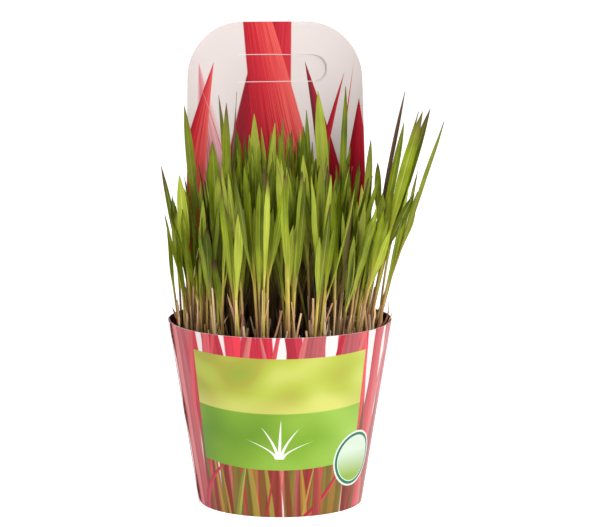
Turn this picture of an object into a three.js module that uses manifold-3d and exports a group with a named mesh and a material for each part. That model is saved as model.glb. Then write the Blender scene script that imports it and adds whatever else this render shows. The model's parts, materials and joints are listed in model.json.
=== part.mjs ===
// Japanese blood grass in a nursery pot, standing in a printed card sleeve with a header panel.
// Millimetres, +Z up. The origin is the centre of the pot's base, on the surface it stands on.
// -Y is the front, where the sleeve carries its label; the header panel rises at the back, +Y.
import * as THREE from 'three';
import { mergeVertices } from 'three/addons/utils/BufferGeometryUtils.js';
import Module from 'manifold-3d';

const wasm = await Module();
wasm.setup();

// ---- Driving dimensions ----
const fit = 0.3;                    // running gap between separate pieces
const degrees = Math.PI / 180;
const fullTurn = 2 * Math.PI;

// Card sleeve: a conical collar, open below, with a header panel on its back
const sleeveHeight = 113;
const sleeveTopRadius = 68.5;
const sleeveBaseRadius = 50.25;
const cardThickness = 0.5;
const seamAngle = 194 * degrees;    // the free edge of the back wrap, just in front of the left side
const seamOverlap = 12 * degrees;   // how far the glue flap reaches under the back wrap
const flapRise = 44 * degrees;      // the front wrap slides inwards over this arc to pass under the back
const collarStep = 7.5 * degrees;

// Header panel
const headerTop = 286.5;
const headerHalfAngle = 57 * degrees;
const headerTopHalfWidth = 54.5;
const headerTopSag = 10;            // depth of the panel's curve at its top, nearly flat
const headerFlattening = 0.8;       // below 1, the curve flattens out sooner above the collar
const headerCorner = 33.5;          // radius of the two rounded top corners
const headerCornerSteps = 7;
const headerFlatSteps = 4;
const headerRows = 5;

// Nursery pot
const potSides = 32;
const potHeight = 104.5;
const potBaseRadius = 46.5;
const potWall = 0.9;
const potFloor = 2.4;
const lipHeight = 8;
const lipWidth = 2.9;
const channelInner = 15;            // a raised ring under the floor, where the drainage holes are
const channelOuter = 41;
const channelRise = 1.4;
const drainCount = 6;
const drainSides = 8;
const drainRadius = 3.5;
const drainCircle = 28;

// Soil
const soilTop = 101.5;
const soilBump = 1.1;
const soilRings = [20, 42];         // radii of the rings of points on the soil's surface

// Grass: crowns
const crownCircles = [              // the crowns stand in circles round the pot's axis
  { count: 1, radius: 0 },
  { count: 7, radius: 17.5 },
  { count: 13, radius: 35 },
  { count: 21, radius: 52 },
];
const crownStray = 0.7;             // how far a crown may stand off its place in the circle
const crownSides = 5;
const crownRadius = 5.7;
const crownFoot = 3.4;
const crownDepth = 9;
const crownRise = 2.2;
const holeFlare = 1.4;              // how much wider than its crown a hole is above the soil

// Grass: how many blades, and where they start
const culmsPerTuft = 5;
const stubsPerTuft = 1;
const rootDepth = 4;                // how far a culm starts below the soil's surface, inside its crown
const rootRing = 2.7;               // distance of the culms from their crown's axis
const fullHeight = 128;             // of the tallest culms, above the soil
const frontDrop = 14;               // how much lower the culms at the front edge are
const sideDrop = 44;                // and those at the left and right edges
const leanAway = 11;                // how far a full-height culm at the pot's wall leans at its tip
const leanRight = 12;               // how much further on the right-hand side, and less on the left

// Grass: the sizes and angles (radians) that each kind of blade is drawn from, from low to high.
// share is a height as a share of the tallest culm that the place allows, stem the half width below
// the blade, opening the share of its height where a blade leaves its sheath, straight is 1 for an
// even lean and less for one that grows towards the tip, sway a bow to one side, turn the angle
// between the blade's face and its usual direction, and twist the turn from base to tip.
const culmRule = {
  share: [0.6, 1],
  shareBias: 1.0,
  stray: 9.5,
  width: [3.9, 6.7],
  stem: [0.85, 1.15],
  opening: [0.42, 0.54],
  straight: [0.45, 0.95],
  sway: [-2, 2],
  turn: [-0.9, 0.9],
  twist: [-0.7, 0.7],
  shorten: 0.3,
  narrow: 0.25,
};
const sideRule = {
  lowestFork: 0.36,
  leastRoom: 40,
  rise: [50, 95],
  out: [6, 17],
  aside: [-0.6, 0.6],
  width: [3.3, 5.6],
  stem: 0.8,
  opening: 0.12,
  straight: [1, 1.35],
  turn: [-0.35, 0.35],
  twist: [-0.4, 0.4],
  shorten: 0.35,
  narrow: 0.2,
};
const stubRule = {
  height: [7, 20],
  lean: [0.05, 0.22],
  width: [1.7, 2.6],
};
const leadRule = {
  stray: [1.5, 3.5],
  depthStray: [2.4, 10.4],
  stem: 1.05,
  stemShare: 0.4,
  opening: 0.44,
  straight: 0.75,
  sway: [-1.5, 1.5],
  turn: [-0.55, 0.55],
  twist: [-0.4, 0.4],
};

// Grass: the form of a blade and the room it needs
const culmStations = [0, 0.46, 0.67, 0.87, 1];
const sideStations = [0, 0.25, 0.52, 0.82, 1];
const stubStations = [0, 0.3, 1];
const broadestShare = 0.5;         // of the way from a blade's opening to its tip
const tipFullness = 2.7;            // above 1, a blade keeps its width longer before its point
const clippedTaper = 0.35;
const stemDepth = 1.7;              // a stem's depth as a multiple of its half width
const bladeDepth = 1.05;            // from a blade's face to its keel
const keelShare = 0.65;             // share of that depth that lies behind the blade's middle line
const bladeGap = 0.3;               // free space kept between blades of different tufts
const wallGap = 1;                  // free space kept to the pot, the collar and the header panel
const rimGap = 2.5;                 // and to the collar's upper edge
const levelStep = 4;                // height between the levels where blades are tested for room
const tuftFree = 3;                 // height above the soil below which one tuft's culms may touch
const forkFree = 18;                // height above its foot below which a side blade may touch its culm
const steepest = 0.3;               // lowest slope of a blade that the test of its levels allows for
const triesPerBlade = 60;
const tangentStep = 0.02;           // share of a blade over which its direction is measured

// Seeds of the random streams; each kind of blade counts on from its own
const seeds = { crowns: 17, soil: 71, leading: 1000, culms: 2000, sides: 3000, stubs: 4000 };

// Joining solids
const mergeDistance = 1e-4;
const simplifyTolerance = 0.004;

// ---- Seeded random numbers ----
function randomStream(seed) {
  let state = seed >>> 0;
  return (low = 0, high = 1) => {
    state = (state + 0x6d2b79f5) >>> 0;
    let mixed = Math.imul(state ^ (state >>> 15), state | 1);
    mixed ^= mixed + Math.imul(mixed ^ (mixed >>> 7), mixed | 61);
    return low + (high - low) * (((mixed ^ (mixed >>> 14)) >>> 0) / 4294967296);
  };
}

const { lerp, clamp } = THREE.MathUtils;
const smoothstep = (value) => value * value * (3 - 2 * value);

// ---- Solids ----
function meshGeometry(points, triangles) {
  const geometry = new THREE.BufferGeometry();
  geometry.setAttribute('position', new THREE.Float32BufferAttribute(points.flat(), 3));
  geometry.setIndex(triangles.flat());
  return geometry;
}

function toSolid(geometry) {
  const bare = geometry.clone();
  bare.deleteAttribute('normal');
  bare.deleteAttribute('uv');
  const merged = mergeVertices(bare, mergeDistance);
  const corners = merged.index.array;
  const kept = [];
  for (let i = 0; i < corners.length; i += 3) {
    const [a, b, c] = [corners[i], corners[i + 1], corners[i + 2]];
    if (a !== b && b !== c && c !== a) kept.push(a, b, c);
  }
  return new wasm.Manifold(new wasm.Mesh({
    numProp: 3,
    vertProperties: new Float32Array(merged.attributes.position.array),
    triVerts: new Uint32Array(kept),
  }));
}

function toGeometry(solid) {
  const mesh = solid.simplify(simplifyTolerance).getMesh();
  const geometry = new THREE.BufferGeometry();
  geometry.setAttribute('position', new THREE.BufferAttribute(mesh.vertProperties, 3));
  geometry.setIndex(new THREE.BufferAttribute(mesh.triVerts, 1));
  return geometry;
}

function lathe(profile, sides) {
  const geometry = new THREE.LatheGeometry(profile.map(([r, z]) => new THREE.Vector2(r, z)), sides);
  return toSolid(geometry.rotateX(Math.PI / 2));
}

// ---- Card sleeve ----
const sleeveSlope = (sleeveTopRadius - sleeveBaseRadius) / sleeveHeight;
const sleeveRadius = (z) => sleeveBaseRadius + sleeveSlope * z;
const headerRimHalfWidth = sleeveTopRadius * Math.sin(headerHalfAngle);
const headerRimSag = sleeveTopRadius * (1 - Math.cos(headerHalfAngle));

// The header's section at a height is an elliptic arc: across and deep are its two half axes.
function headerSection(z) {
  const share = clamp((z - sleeveHeight) / (headerTop - sleeveHeight), 0, 1);
  const halfWidth = lerp(headerRimHalfWidth, headerTopHalfWidth, share);
  const sag = lerp(headerRimSag, headerTopSag, share ** headerFlattening);
  return {
    halfWidth,
    across: halfWidth / Math.sin(headerHalfAngle),
    deep: sag / (1 - Math.cos(headerHalfAngle)),
    back: sleeveRadius(z),
  };
}

function headerPoint(turn, z, inset) {
  const { across, deep, back } = headerSection(z);
  const x = across * Math.sin(turn);
  const y = back - deep * (1 - Math.cos(turn));
  const normal = new THREE.Vector2(deep * Math.sin(turn), across * Math.cos(turn)).normalize();
  return [x - inset * normal.x, y - inset * normal.y, z];
}

// Turns from the panel's middle to its columns of points, with the corners' columns close together
function headerTurns() {
  const flat = headerTopHalfWidth - headerCorner;
  const right = [];
  for (let i = 1; i <= headerCornerSteps; i += 1) {
    const sweep = (i / headerCornerSteps) * (Math.PI / 2);
    right.push(flat + headerCorner * Math.sin(sweep));
  }
  const middle = [];
  for (let i = 0; i <= headerFlatSteps; i += 1) middle.push(lerp(-flat, flat, i / headerFlatSteps));
  const left = right.map((x) => -x).reverse();
  const scale = Math.sin(headerHalfAngle) / headerTopHalfWidth;
  return [...left, ...middle, ...right].map((x) => Math.asin(clamp(x * scale, -1, 1)));
}

function headerColumnTop(turn) {
  const x = Math.abs(headerTopHalfWidth * Math.sin(turn) / Math.sin(headerHalfAngle));
  const intoCorner = clamp(x - (headerTopHalfWidth - headerCorner), 0, headerCorner);
  return headerTop - headerCorner + Math.sqrt(headerCorner ** 2 - intoCorner ** 2);
}

// The collar's stations run once round from the seam. The turn of a header station is measured from
// the back, and its sign is chosen so that positive turns lie at +X.
function collarStations() {
  const headerStart = Math.PI / 2 + fullTurn - headerHalfAngle;
  const headerEnd = headerStart + 2 * headerHalfAngle;
  const end = seamAngle + fullTurn;
  const stations = [];
  const addArc = (from, to) => {
    const steps = Math.max(1, Math.round((to - from) / collarStep));
    for (let i = 0; i < steps; i += 1) stations.push({ angle: lerp(from, to, i / steps) });
  };
  addArc(seamAngle, headerStart);
  for (const turn of headerTurns().reverse()) {
    stations.push({ angle: Math.PI / 2 + fullTurn - turn, turn });
  }
  stations.pop();
  stations.push({ angle: headerEnd, turn: -headerHalfAngle });
  addArc(headerEnd + collarStep, end - seamOverlap);
  addArc(end - seamOverlap, end);
  stations.push({ angle: end });
  for (const station of stations) {
    const tuck = clamp(1 - (station.angle - seamAngle) / flapRise, 0, 1);
    const overlapped = station.angle > end - seamOverlap + 1e-6;
    station.outset = -cardThickness * smoothstep(tuck);
    station.inset = overlapped ? 2 * cardThickness : cardThickness - station.outset;
  }
  return stations;
}

function cardSleeve() {
  const stations = collarStations();
  const count = stations.length;
  const points = [];
  const triangles = [];
  const quad = (a, b, c, d) => triangles.push([a, b, c], [a, c, d]);
  const ringPoint = (angle, radius, z) => {
    points.push([radius * Math.cos(angle), radius * Math.sin(angle), z]);
    return points.length - 1;
  };
  const corners = stations.map(({ angle, outset, inset }) => ({
    outerLow: ringPoint(angle, sleeveBaseRadius + outset, 0),
    innerLow: ringPoint(angle, sleeveBaseRadius - inset, 0),
    outerHigh: ringPoint(angle, sleeveTopRadius + outset, sleeveHeight),
    innerHigh: ringPoint(angle, sleeveTopRadius - inset, sleeveHeight),
  }));
  for (let i = 0; i < count; i += 1) {
    const here = corners[i];
    const next = corners[(i + 1) % count];
    const underHeader = stations[i].turn !== undefined && stations[(i + 1) % count].turn !== undefined;
    quad(here.outerLow, next.outerLow, next.outerHigh, here.outerHigh);
    quad(next.innerLow, here.innerLow, here.innerHigh, next.innerHigh);
    quad(next.outerLow, here.outerLow, here.innerLow, next.innerLow);
    if (!underHeader) quad(here.outerHigh, next.outerHigh, next.innerHigh, here.innerHigh);
  }
  const columns = stations.map(({ turn }, i) => {
    if (turn === undefined) return null;
    const outer = [corners[i].outerHigh];
    const inner = [corners[i].innerHigh];
    for (let row = 1; row <= headerRows; row += 1) {
      const z = lerp(sleeveHeight, headerColumnTop(turn), row / headerRows);
      outer.push(points.push(headerPoint(turn, z, 0)) - 1);
      inner.push(points.push(headerPoint(turn, z, cardThickness)) - 1);
    }
    return { outer, inner };
  });
  for (let i = 0; i < count; i += 1) {
    const here = columns[i];
    const next = columns[(i + 1) % count];
    if (!here) continue;
    for (let row = 0; row < headerRows; row += 1) {
      if (next) {
        quad(here.outer[row], next.outer[row], next.outer[row + 1], here.outer[row + 1]);
        quad(next.inner[row], here.inner[row], here.inner[row + 1], next.inner[row + 1]);
      } else {
        quad(here.outer[row], here.inner[row], here.inner[row + 1], here.outer[row + 1]);
      }
      if (!columns[i - 1]) {
        quad(here.inner[row], here.outer[row], here.outer[row + 1], here.inner[row + 1]);
      }
    }
    if (next) {
      quad(here.outer[headerRows], next.outer[headerRows], next.inner[headerRows], here.inner[headerRows]);
    }
  }
  return toSolid(meshGeometry(points, triangles));
}

// ---- Nursery pot ----
const lipBottom = potHeight - lipHeight;
const lipRadius = sleeveRadius(lipBottom) - 2 * cardThickness - fit;
const potRimRadius = lipRadius - lipWidth;
const potSlope = (potRimRadius - potBaseRadius) / potHeight;
const potInnerRadius = (z) => potBaseRadius + potSlope * z - potWall;

function growerPot() {
  const channelEdge = channelRise;
  const body = lathe([
    [0, 0],
    [channelInner, 0],
    [channelInner + channelEdge, channelRise],
    [channelOuter - channelEdge, channelRise],
    [channelOuter, 0],
    [potBaseRadius, 0],
    [potInnerRadius(lipBottom) + potWall, lipBottom],
    [lipRadius, lipBottom],
    [lipRadius, potHeight],
    [potInnerRadius(potHeight), potHeight],
    [potInnerRadius(potFloor), potFloor],
    [0, potFloor],
  ], potSides);
  const drains = [];
  for (let i = 0; i < drainCount; i += 1) {
    const angle = (i / drainCount) * fullTurn;
    const drain = new THREE.CylinderGeometry(drainRadius, drainRadius, 4 * potFloor, drainSides);
    drain.rotateX(Math.PI / 2);
    drain.translate(drainCircle * Math.cos(angle), drainCircle * Math.sin(angle), 0);
    drains.push(toSolid(drain));
  }
  return body.subtract(wasm.Manifold.union(drains));
}

// ---- Soil ----
function crownCentres() {
  const draw = randomStream(seeds.crowns);
  const centres = [];
  for (const { count, radius } of crownCircles) {
    for (let i = 0; i < count; i += 1) {
      const angle = (i / count) * fullTurn;
      const stray = () => draw(-crownStray, crownStray);
      centres.push([radius * Math.cos(angle) + stray(), radius * Math.sin(angle) + stray()]);
    }
  }
  return centres;
}

const tuftCentres = crownCentres();
const tuftCount = tuftCentres.length;
const outerCircle = crownCircles.at(-1).radius;

function crownHole(index) {
  const [x, y] = tuftCentres[index];
  const clearance = fit / Math.cos(Math.PI / crownSides);
  const over = 3 * soilBump;
  const hole = new THREE.LatheGeometry([
    new THREE.Vector2(0, soilTop - crownDepth - fit),
    new THREE.Vector2(crownFoot + clearance, soilTop - crownDepth - fit),
    new THREE.Vector2(crownRadius + clearance + holeFlare, soilTop + over),
    new THREE.Vector2(0, soilTop + over),
  ], crownSides);
  hole.rotateX(Math.PI / 2);
  hole.translate(x, y, 0);
  return toSolid(hole);
}

function soilBody() {
  const floor = potFloor + fit;
  const draw = randomStream(seeds.soil);
  const points = [[0, 0, floor], [0, 0, soilTop]];
  const triangles = [];
  const addRing = (radius, height) => {
    const first = points.length;
    for (let i = 0; i < potSides; i += 1) {
      const angle = (i / potSides) * fullTurn - Math.PI / 2;
      points.push([radius * Math.cos(angle), radius * Math.sin(angle), height()]);
    }
    return first;
  };
  const rings = [
    addRing(potInnerRadius(floor) - fit, () => floor),
    addRing(potInnerRadius(soilTop) - fit, () => soilTop - soilBump),
    ...soilRings.toReversed().map((radius) => addRing(radius, () => soilTop + draw(-soilBump, soilBump))),
  ];
  for (let i = 0; i < potSides; i += 1) {
    const j = (i + 1) % potSides;
    triangles.push([0, rings[0] + j, rings[0] + i]);
    for (let k = 1; k < rings.length; k += 1) {
      triangles.push([rings[k - 1] + i, rings[k - 1] + j, rings[k] + j]);
      triangles.push([rings[k - 1] + i, rings[k] + j, rings[k] + i]);
    }
    triangles.push([rings.at(-1) + i, rings.at(-1) + j, 1]);
  }
  const holes = Array.from({ length: tuftCount }, (_, index) => crownHole(index));
  return toSolid(meshGeometry(points, triangles)).subtract(wasm.Manifold.union(holes));
}

// ---- Grass: the shape of one blade ----
// A blade runs from its base to its tip. A culm blade is a slim stem up to its opening, then widens
// to its broadest place and narrows to a point, or to a straight cut where it was clipped.
function bladePoint(blade, share) {
  const bend = blade.straight * share + (1 - blade.straight) * share * share;
  const sway = blade.sway * Math.sin(Math.PI * share);
  return new THREE.Vector3(
    lerp(blade.base[0], blade.tip[0], bend) + sway * Math.cos(blade.face),
    lerp(blade.base[1], blade.tip[1], bend) + sway * Math.sin(blade.face),
    lerp(blade.base[2], blade.tip[2], share),
  );
}

function bladeHalfWidth(blade, share) {
  if (blade.kind === 'stub') return blade.width / 2;
  const broadest = lerp(blade.opening, 1, broadestShare);
  if (share <= blade.opening) return blade.stem;
  if (share <= broadest) {
    const rise = (share - blade.opening) / (broadest - blade.opening);
    return lerp(blade.stem, blade.width / 2, smoothstep(rise));
  }
  const fall = (share - broadest) / (1 - broadest);
  return blade.width / 2 * (blade.cut ? 1 - clippedTaper * fall : 1 - fall ** tipFullness);
}

function bladeThickness(blade, share) {
  if (blade.kind === 'stub') return blade.width;
  return lerp(blade.stem * stemDepth, bladeDepth, Math.min(share / blade.opening, 1));
}

function bladeSections(blade) {
  const shares = { culm: culmStations, side: sideStations, stub: stubStations }[blade.kind];
  return shares.map((share) => {
    const centre = bladePoint(blade, share);
    const ahead = bladePoint(blade, Math.min(share + tangentStep, 1));
    const behind = bladePoint(blade, Math.max(share - tangentStep, 0));
    const along = ahead.sub(behind).normalize();
    const angle = blade.face + blade.twist * share;
    const across = new THREE.Vector3(Math.cos(angle), Math.sin(angle), 0);
    across.addScaledVector(along, -across.dot(along)).normalize();
    return {
      centre,
      along,
      across,
      halfWidth: bladeHalfWidth(blade, share),
      thickness: bladeThickness(blade, share),
    };
  });
}

function bladeSolid(blade) {
  const sections = bladeSections(blade);
  const points = [];
  const triangles = [];
  const pointed = !blade.cut;
  const rooted = blade.kind === 'culm';
  sections.forEach(({ centre, along, across, halfWidth, thickness }, i) => {
    if ((pointed && i === sections.length - 1) || (!rooted && i === 0)) {
      points.push(centre.toArray());
      return;
    }
    const back = new THREE.Vector3().crossVectors(along, across);
    const front = centre.clone().addScaledVector(back, (keelShare - 1) * thickness);
    points.push(front.clone().addScaledVector(across, halfWidth).toArray());
    points.push(centre.clone().addScaledVector(back, keelShare * thickness).toArray());
    points.push(front.clone().addScaledVector(across, -halfWidth).toArray());
  });
  const first = rooted ? 0 : 1;
  const last = points.length - (pointed ? 4 : 3);
  for (let low = first; low < last; low += 3) {
    const high = low + 3;
    for (let i = 0; i < 3; i += 1) {
      const j = (i + 1) % 3;
      triangles.push([low + i, low + j, high + j], [low + i, high + j, high + i]);
    }
  }
  for (let i = 0; i < 3; i += 1) {
    const j = (i + 1) % 3;
    if (!rooted) triangles.push([0, first + j, first + i]);
    if (pointed) triangles.push([last + i, last + j, points.length - 1]);
  }
  if (rooted) triangles.push([0, 2, 1]);
  if (!pointed) triangles.push([last, last + 1, last + 2]);
  return toSolid(meshGeometry(points, triangles));
}

// ---- Grass: finding room for a blade ----
// At each level a blade is a short line across its width. Two blades have room where these lines
// stay further apart than the two blades are thick.
function bladeLevels(blade) {
  const sections = bladeSections(blade);
  const levels = new Map();
  for (let i = 1; i < sections.length; i += 1) {
    const low = sections[i - 1];
    const high = sections[i];
    const first = Math.ceil(low.centre.z / levelStep);
    const last = Math.floor(high.centre.z / levelStep);
    for (let level = first; level <= last; level += 1) {
      const share = (level * levelStep - low.centre.z) / (high.centre.z - low.centre.z);
      const centre = low.centre.clone().lerp(high.centre, share);
      const across = low.across.clone().lerp(high.across, share);
      const slope = Math.max(steepest, lerp(low.along.z, high.along.z, share));
      const half = lerp(low.halfWidth, high.halfWidth, share) / slope;
      levels.set(level, {
        x: centre.x,
        y: centre.y,
        dx: across.x * half,
        dy: across.y * half,
        reach: keelShare * lerp(low.thickness, high.thickness, share) / slope,
      });
    }
  }
  return levels;
}

function pointToLine(px, py, line) {
  const length2 = line.dx * line.dx + line.dy * line.dy;
  const along = length2 > 0 ? ((px - line.x) * line.dx + (py - line.y) * line.dy) / length2 : 0;
  const t = clamp(along, -1, 1);
  return Math.hypot(px - line.x - t * line.dx, py - line.y - t * line.dy);
}

function lineGap(a, b) {
  const cross = a.dx * b.dy - a.dy * b.dx;
  if (Math.abs(cross) > 1e-9) {
    const t = ((b.x - a.x) * b.dy - (b.y - a.y) * b.dx) / cross;
    const s = ((b.x - a.x) * a.dy - (b.y - a.y) * a.dx) / cross;
    if (Math.abs(t) <= 1 && Math.abs(s) <= 1) return 0;
  }
  return Math.min(
    pointToLine(a.x + a.dx, a.y + a.dy, b),
    pointToLine(a.x - a.dx, a.y - a.dy, b),
    pointToLine(b.x + b.dx, b.y + b.dy, a),
    pointToLine(b.x - b.dx, b.y - b.dy, a),
  );
}

// Free space round the grass: inside the pot's wall, then inside the collar and in front of the header
function insideHolder(line, z) {
  for (const side of [-1, 1]) {
    const x = line.x + side * line.dx;
    const y = line.y + side * line.dy;
    const radius = Math.hypot(x, y) + line.reach;
    if (z < potHeight + wallGap && radius > potInnerRadius(soilTop) - wallGap) return false;
    if (z < sleeveHeight + rimGap && radius > sleeveRadius(z) - rimGap) return false;
    if (z >= sleeveHeight - rimGap && y > 0) {
      const { halfWidth, across, deep, back } = headerSection(z);
      if (Math.abs(x) > halfWidth + rimGap) continue;
      const turn = Math.asin(clamp(x / across, -1, 1));
      if (y + line.reach + wallGap > back - deep * (1 - Math.cos(turn))) return false;
    }
  }
  return true;
}

function hasRoom(candidate, blades) {
  for (const [level, line] of candidate.levels) {
    if (!insideHolder(line, level * levelStep)) return false;
  }
  for (const other of blades) {
    const sameTuft = other.tuft === candidate.tuft;
    for (const [level, line] of candidate.levels) {
      const beside = other.levels.get(level);
      if (!beside) continue;
      const z = level * levelStep;
      if (sameTuft && z < soilTop + tuftFree) continue;
      if (other === candidate.parent && z < candidate.base[2] + forkFree) continue;
      if (lineGap(line, beside) < line.reach + beside.reach + (sameTuft ? 0 : bladeGap)) return false;
    }
  }
  return true;
}

// ---- Grass: where the blades grow ----
// The blades that give the plant its outline. root is where the culm leaves the soil, tip where the
// blade ends; a clipped blade ends in a straight cut.
const leadingBlades = [
  { root: [-60, 8], tip: [-73, 8, 206], width: 4, straight: 0.8 },
  { root: [-58, -7], tip: [-65, -7, 176], width: 4 },
  { root: [-54, -8], tip: [-61, -6, 203], width: 6.6 },
  { root: [-52, 26], tip: [-57, 38, 239], width: 5.7 },
  { root: [-46, 26], tip: [-50, 34, 232], width: 5.7 },
  { root: [-35, -6], tip: [-41, -4, 223], width: 7.9 },
  { root: [-31, 24], tip: [-36, 31, 246], width: 4 },
  { root: [-28, 14], tip: [-33, 19, 245], width: 6.6 },
  { root: [-17, 34], tip: [-15, 43, 234], width: 6.6 },
  { root: [-6, 32], tip: [-2, 40, 229], width: 4.8 },
  { root: [3, 40], tip: [4, 48, 229], width: 4 },
  { root: [10, 2], tip: [13, 0, 230], width: 5.7 },
  { root: [19, 24], tip: [18, 29, 238], width: 4 },
  { root: [29, 24], tip: [26, 31, 249], width: 7.5 },
  { root: [36, 16], tip: [42, 20, 252], width: 4.4 },
  { root: [49, 22], tip: [58, 27, 220], width: 4.8 },
  { root: [50, 16], tip: [77, 18, 250], width: 2.6, straight: 0.9 },
  { root: [53, 12], tip: [77, 10, 234], width: 4.8, straight: 0.75 },
  { root: [53, -8], tip: [83, -8, 241], width: 3, straight: 0.75 },
  { root: [52, -14], tip: [87, -17, 241], width: 7, straight: 0.75 },
  { root: [57, 3], tip: [93, 3, 241], width: 5.7, straight: 0.85 },
  { root: [57, -3], tip: [98, -6, 235], width: 3.4, straight: 0.95 },
  { root: [54, -12], tip: [93, -12, 192], width: 4.4, straight: 0.6 },
  { root: [-14, -24], tip: [-16, -27, 212], width: 5.7 },
  { root: [11, -28], tip: [13, -33, 217], width: 6.2 },
  { root: [31, -30], tip: [22, -35, 215], width: 6.6 },
  { root: [29, -38], tip: [32, -42, 196], width: 4.8 },
  { root: [-28, -38], tip: [-23, -43, 188], width: 4.8 },
  { root: [7, -42], tip: [8, -46, 197], width: 4 },
  { root: [13, -26], tip: [-2, -30, 197], width: 4.4 },
  { root: [50, -18], tip: [48, -22, 197], width: 7.5 },
  { root: [31, -40], tip: [40, -44, 192], width: 3, cut: true },
  { root: [-36, -34], tip: [-42, -39, 156], width: 4.8, cut: true },
  { root: [-8, -40], tip: [-13, -44, 173], width: 3.8, cut: true },
];

function nearestTuft([x, y], taken) {
  let nearest = 0;
  let best = Infinity;
  for (let index = 0; index < tuftCount; index += 1) {
    const centre = tuftCentres[index];
    const distance = Math.hypot(x - centre[0], y - centre[1]);
    if (distance < best && freePlaces(taken, index).length > 0) {
      best = distance;
      nearest = index;
    }
  }
  return nearest;
}

function withLevels(blade) {
  return { ...blade, levels: bladeLevels(blade) };
}

function placeBlade(blades, makeCandidate) {
  for (let attempt = 0; attempt < triesPerBlade; attempt += 1) {
    const candidate = withLevels(makeCandidate(attempt / triesPerBlade));
    if (hasRoom(candidate, blades)) {
      blades.push(candidate);
      return candidate;
    }
  }
  return null;
}

// A crown's culms stand on a ring round its axis, each in a place of its own.
function rootPoint(tuft, place, ring) {
  const [x, y] = tuftCentres[tuft];
  const angle = (place / culmsPerTuft) * fullTurn + tuft;
  return [x + ring * Math.cos(angle), y + ring * Math.sin(angle)];
}

function leadingCandidate(lead, tuft, place, draw, looseness) {
  const [x, y] = rootPoint(tuft, place, rootRing);
  const stray = lerp(...leadRule.stray, looseness);
  const depthStray = lerp(...leadRule.depthStray, looseness);
  return {
    kind: 'culm',
    tuft,
    base: [x, y, soilTop - rootDepth],
    tip: [
      lead.tip[0] + draw(-stray, stray),
      lead.tip[1] + draw(-depthStray, depthStray),
      lead.tip[2] + draw(-stray, stray),
    ],
    width: lead.width,
    stem: Math.min(leadRule.stem, leadRule.stemShare * lead.width),
    opening: leadRule.opening,
    straight: lead.straight ?? leadRule.straight,
    sway: draw(...leadRule.sway),
    face: draw(...leadRule.turn),
    twist: draw(...leadRule.twist),
    cut: lead.cut ?? false,
  };
}

function canopyHeight(x, y) {
  const front = Math.max(0, -y / outerCircle);
  const side = Math.min(1, Math.abs(x) / outerCircle);
  return fullHeight - frontDrop * front - sideDrop * side * side;
}

function culmCandidate(tuft, place, draw, looseness) {
  const [x, y] = rootPoint(tuft, place, rootRing);
  const share = lerp(...culmRule.share, draw() ** culmRule.shareBias);
  const height = canopyHeight(x, y) * share * (1 - culmRule.shorten * looseness);
  const radius = Math.hypot(x, y);
  const lean = (leanAway + leanRight * x / radius) * radius / outerCircle * height / fullHeight;
  const stray = culmRule.stray * height / fullHeight;
  return {
    kind: 'culm',
    tuft,
    base: [x, y, soilTop - rootDepth],
    tip: [
      x + lean * x / radius + draw(-stray, stray),
      y + lean * y / radius + draw(-stray, stray),
      soilTop + height,
    ],
    width: draw(...culmRule.width) * (1 - culmRule.narrow * looseness),
    stem: draw(...culmRule.stem),
    opening: draw(...culmRule.opening),
    straight: draw(...culmRule.straight),
    sway: draw(...culmRule.sway),
    face: Math.atan2(y, x) + Math.PI / 2 + draw(...culmRule.turn),
    twist: draw(...culmRule.twist),
    cut: false,
  };
}

// A side blade leaves its culm's sheath towards the culm's face or back, as grass leaves alternate.
function sideCandidate(parent, draw, looseness) {
  const start = draw(sideRule.lowestFork, parent.opening);
  const foot = bladePoint(parent, start);
  const room = Math.max(sideRule.leastRoom, canopyHeight(foot.x, foot.y) + soilTop - foot.z);
  const rise = Math.min(room, draw(...sideRule.rise)) * (1 - sideRule.shorten * looseness);
  const out = draw(...sideRule.out);
  const half = draw() < 0.5 ? Math.PI / 2 : -Math.PI / 2;
  const heading = parent.face + half + draw(...sideRule.aside);
  const beside = bladePoint(parent, Math.min(1, start + rise / (parent.tip[2] - parent.base[2])));
  return {
    kind: 'side',
    tuft: parent.tuft,
    parent,
    base: foot.toArray(),
    tip: [
      beside.x + out * Math.cos(heading),
      beside.y + out * Math.sin(heading),
      foot.z + rise,
    ],
    width: draw(...sideRule.width) * (1 - sideRule.narrow * looseness),
    stem: sideRule.stem,
    opening: sideRule.opening,
    straight: draw(...sideRule.straight),
    sway: 0,
    face: parent.face + draw(...sideRule.turn),
    twist: draw(...sideRule.twist),
    cut: false,
  };
}

// A dry stub of an old culm stands between two living ones, leaning outwards from the crown.
function stubCandidate(tuft, draw) {
  const place = Math.floor(draw(0, culmsPerTuft)) + 0.5;
  const height = draw(...stubRule.height);
  const lean = height * draw(...stubRule.lean);
  return {
    kind: 'stub',
    tuft,
    base: [...rootPoint(tuft, place, rootRing), soilTop - rootDepth],
    tip: [...rootPoint(tuft, place, rootRing + lean), soilTop + height],
    width: draw(...stubRule.width),
    straight: 1,
    sway: 0,
    face: (place / culmsPerTuft) * fullTurn + tuft + Math.PI / 2,
    twist: 0,
    cut: true,
  };
}

function freePlaces(taken, tuft) {
  const places = Array.from({ length: culmsPerTuft }, (_, place) => place);
  return places.filter((place) => !taken.has(tuft * culmsPerTuft + place));
}

function nearestPlace(places, tuft, root) {
  const distance = (place) => {
    const [x, y] = rootPoint(tuft, place, rootRing);
    return Math.hypot(x - root[0], y - root[1]);
  };
  return places.reduce((best, place) => (distance(place) < distance(best) ? place : best));
}

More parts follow.
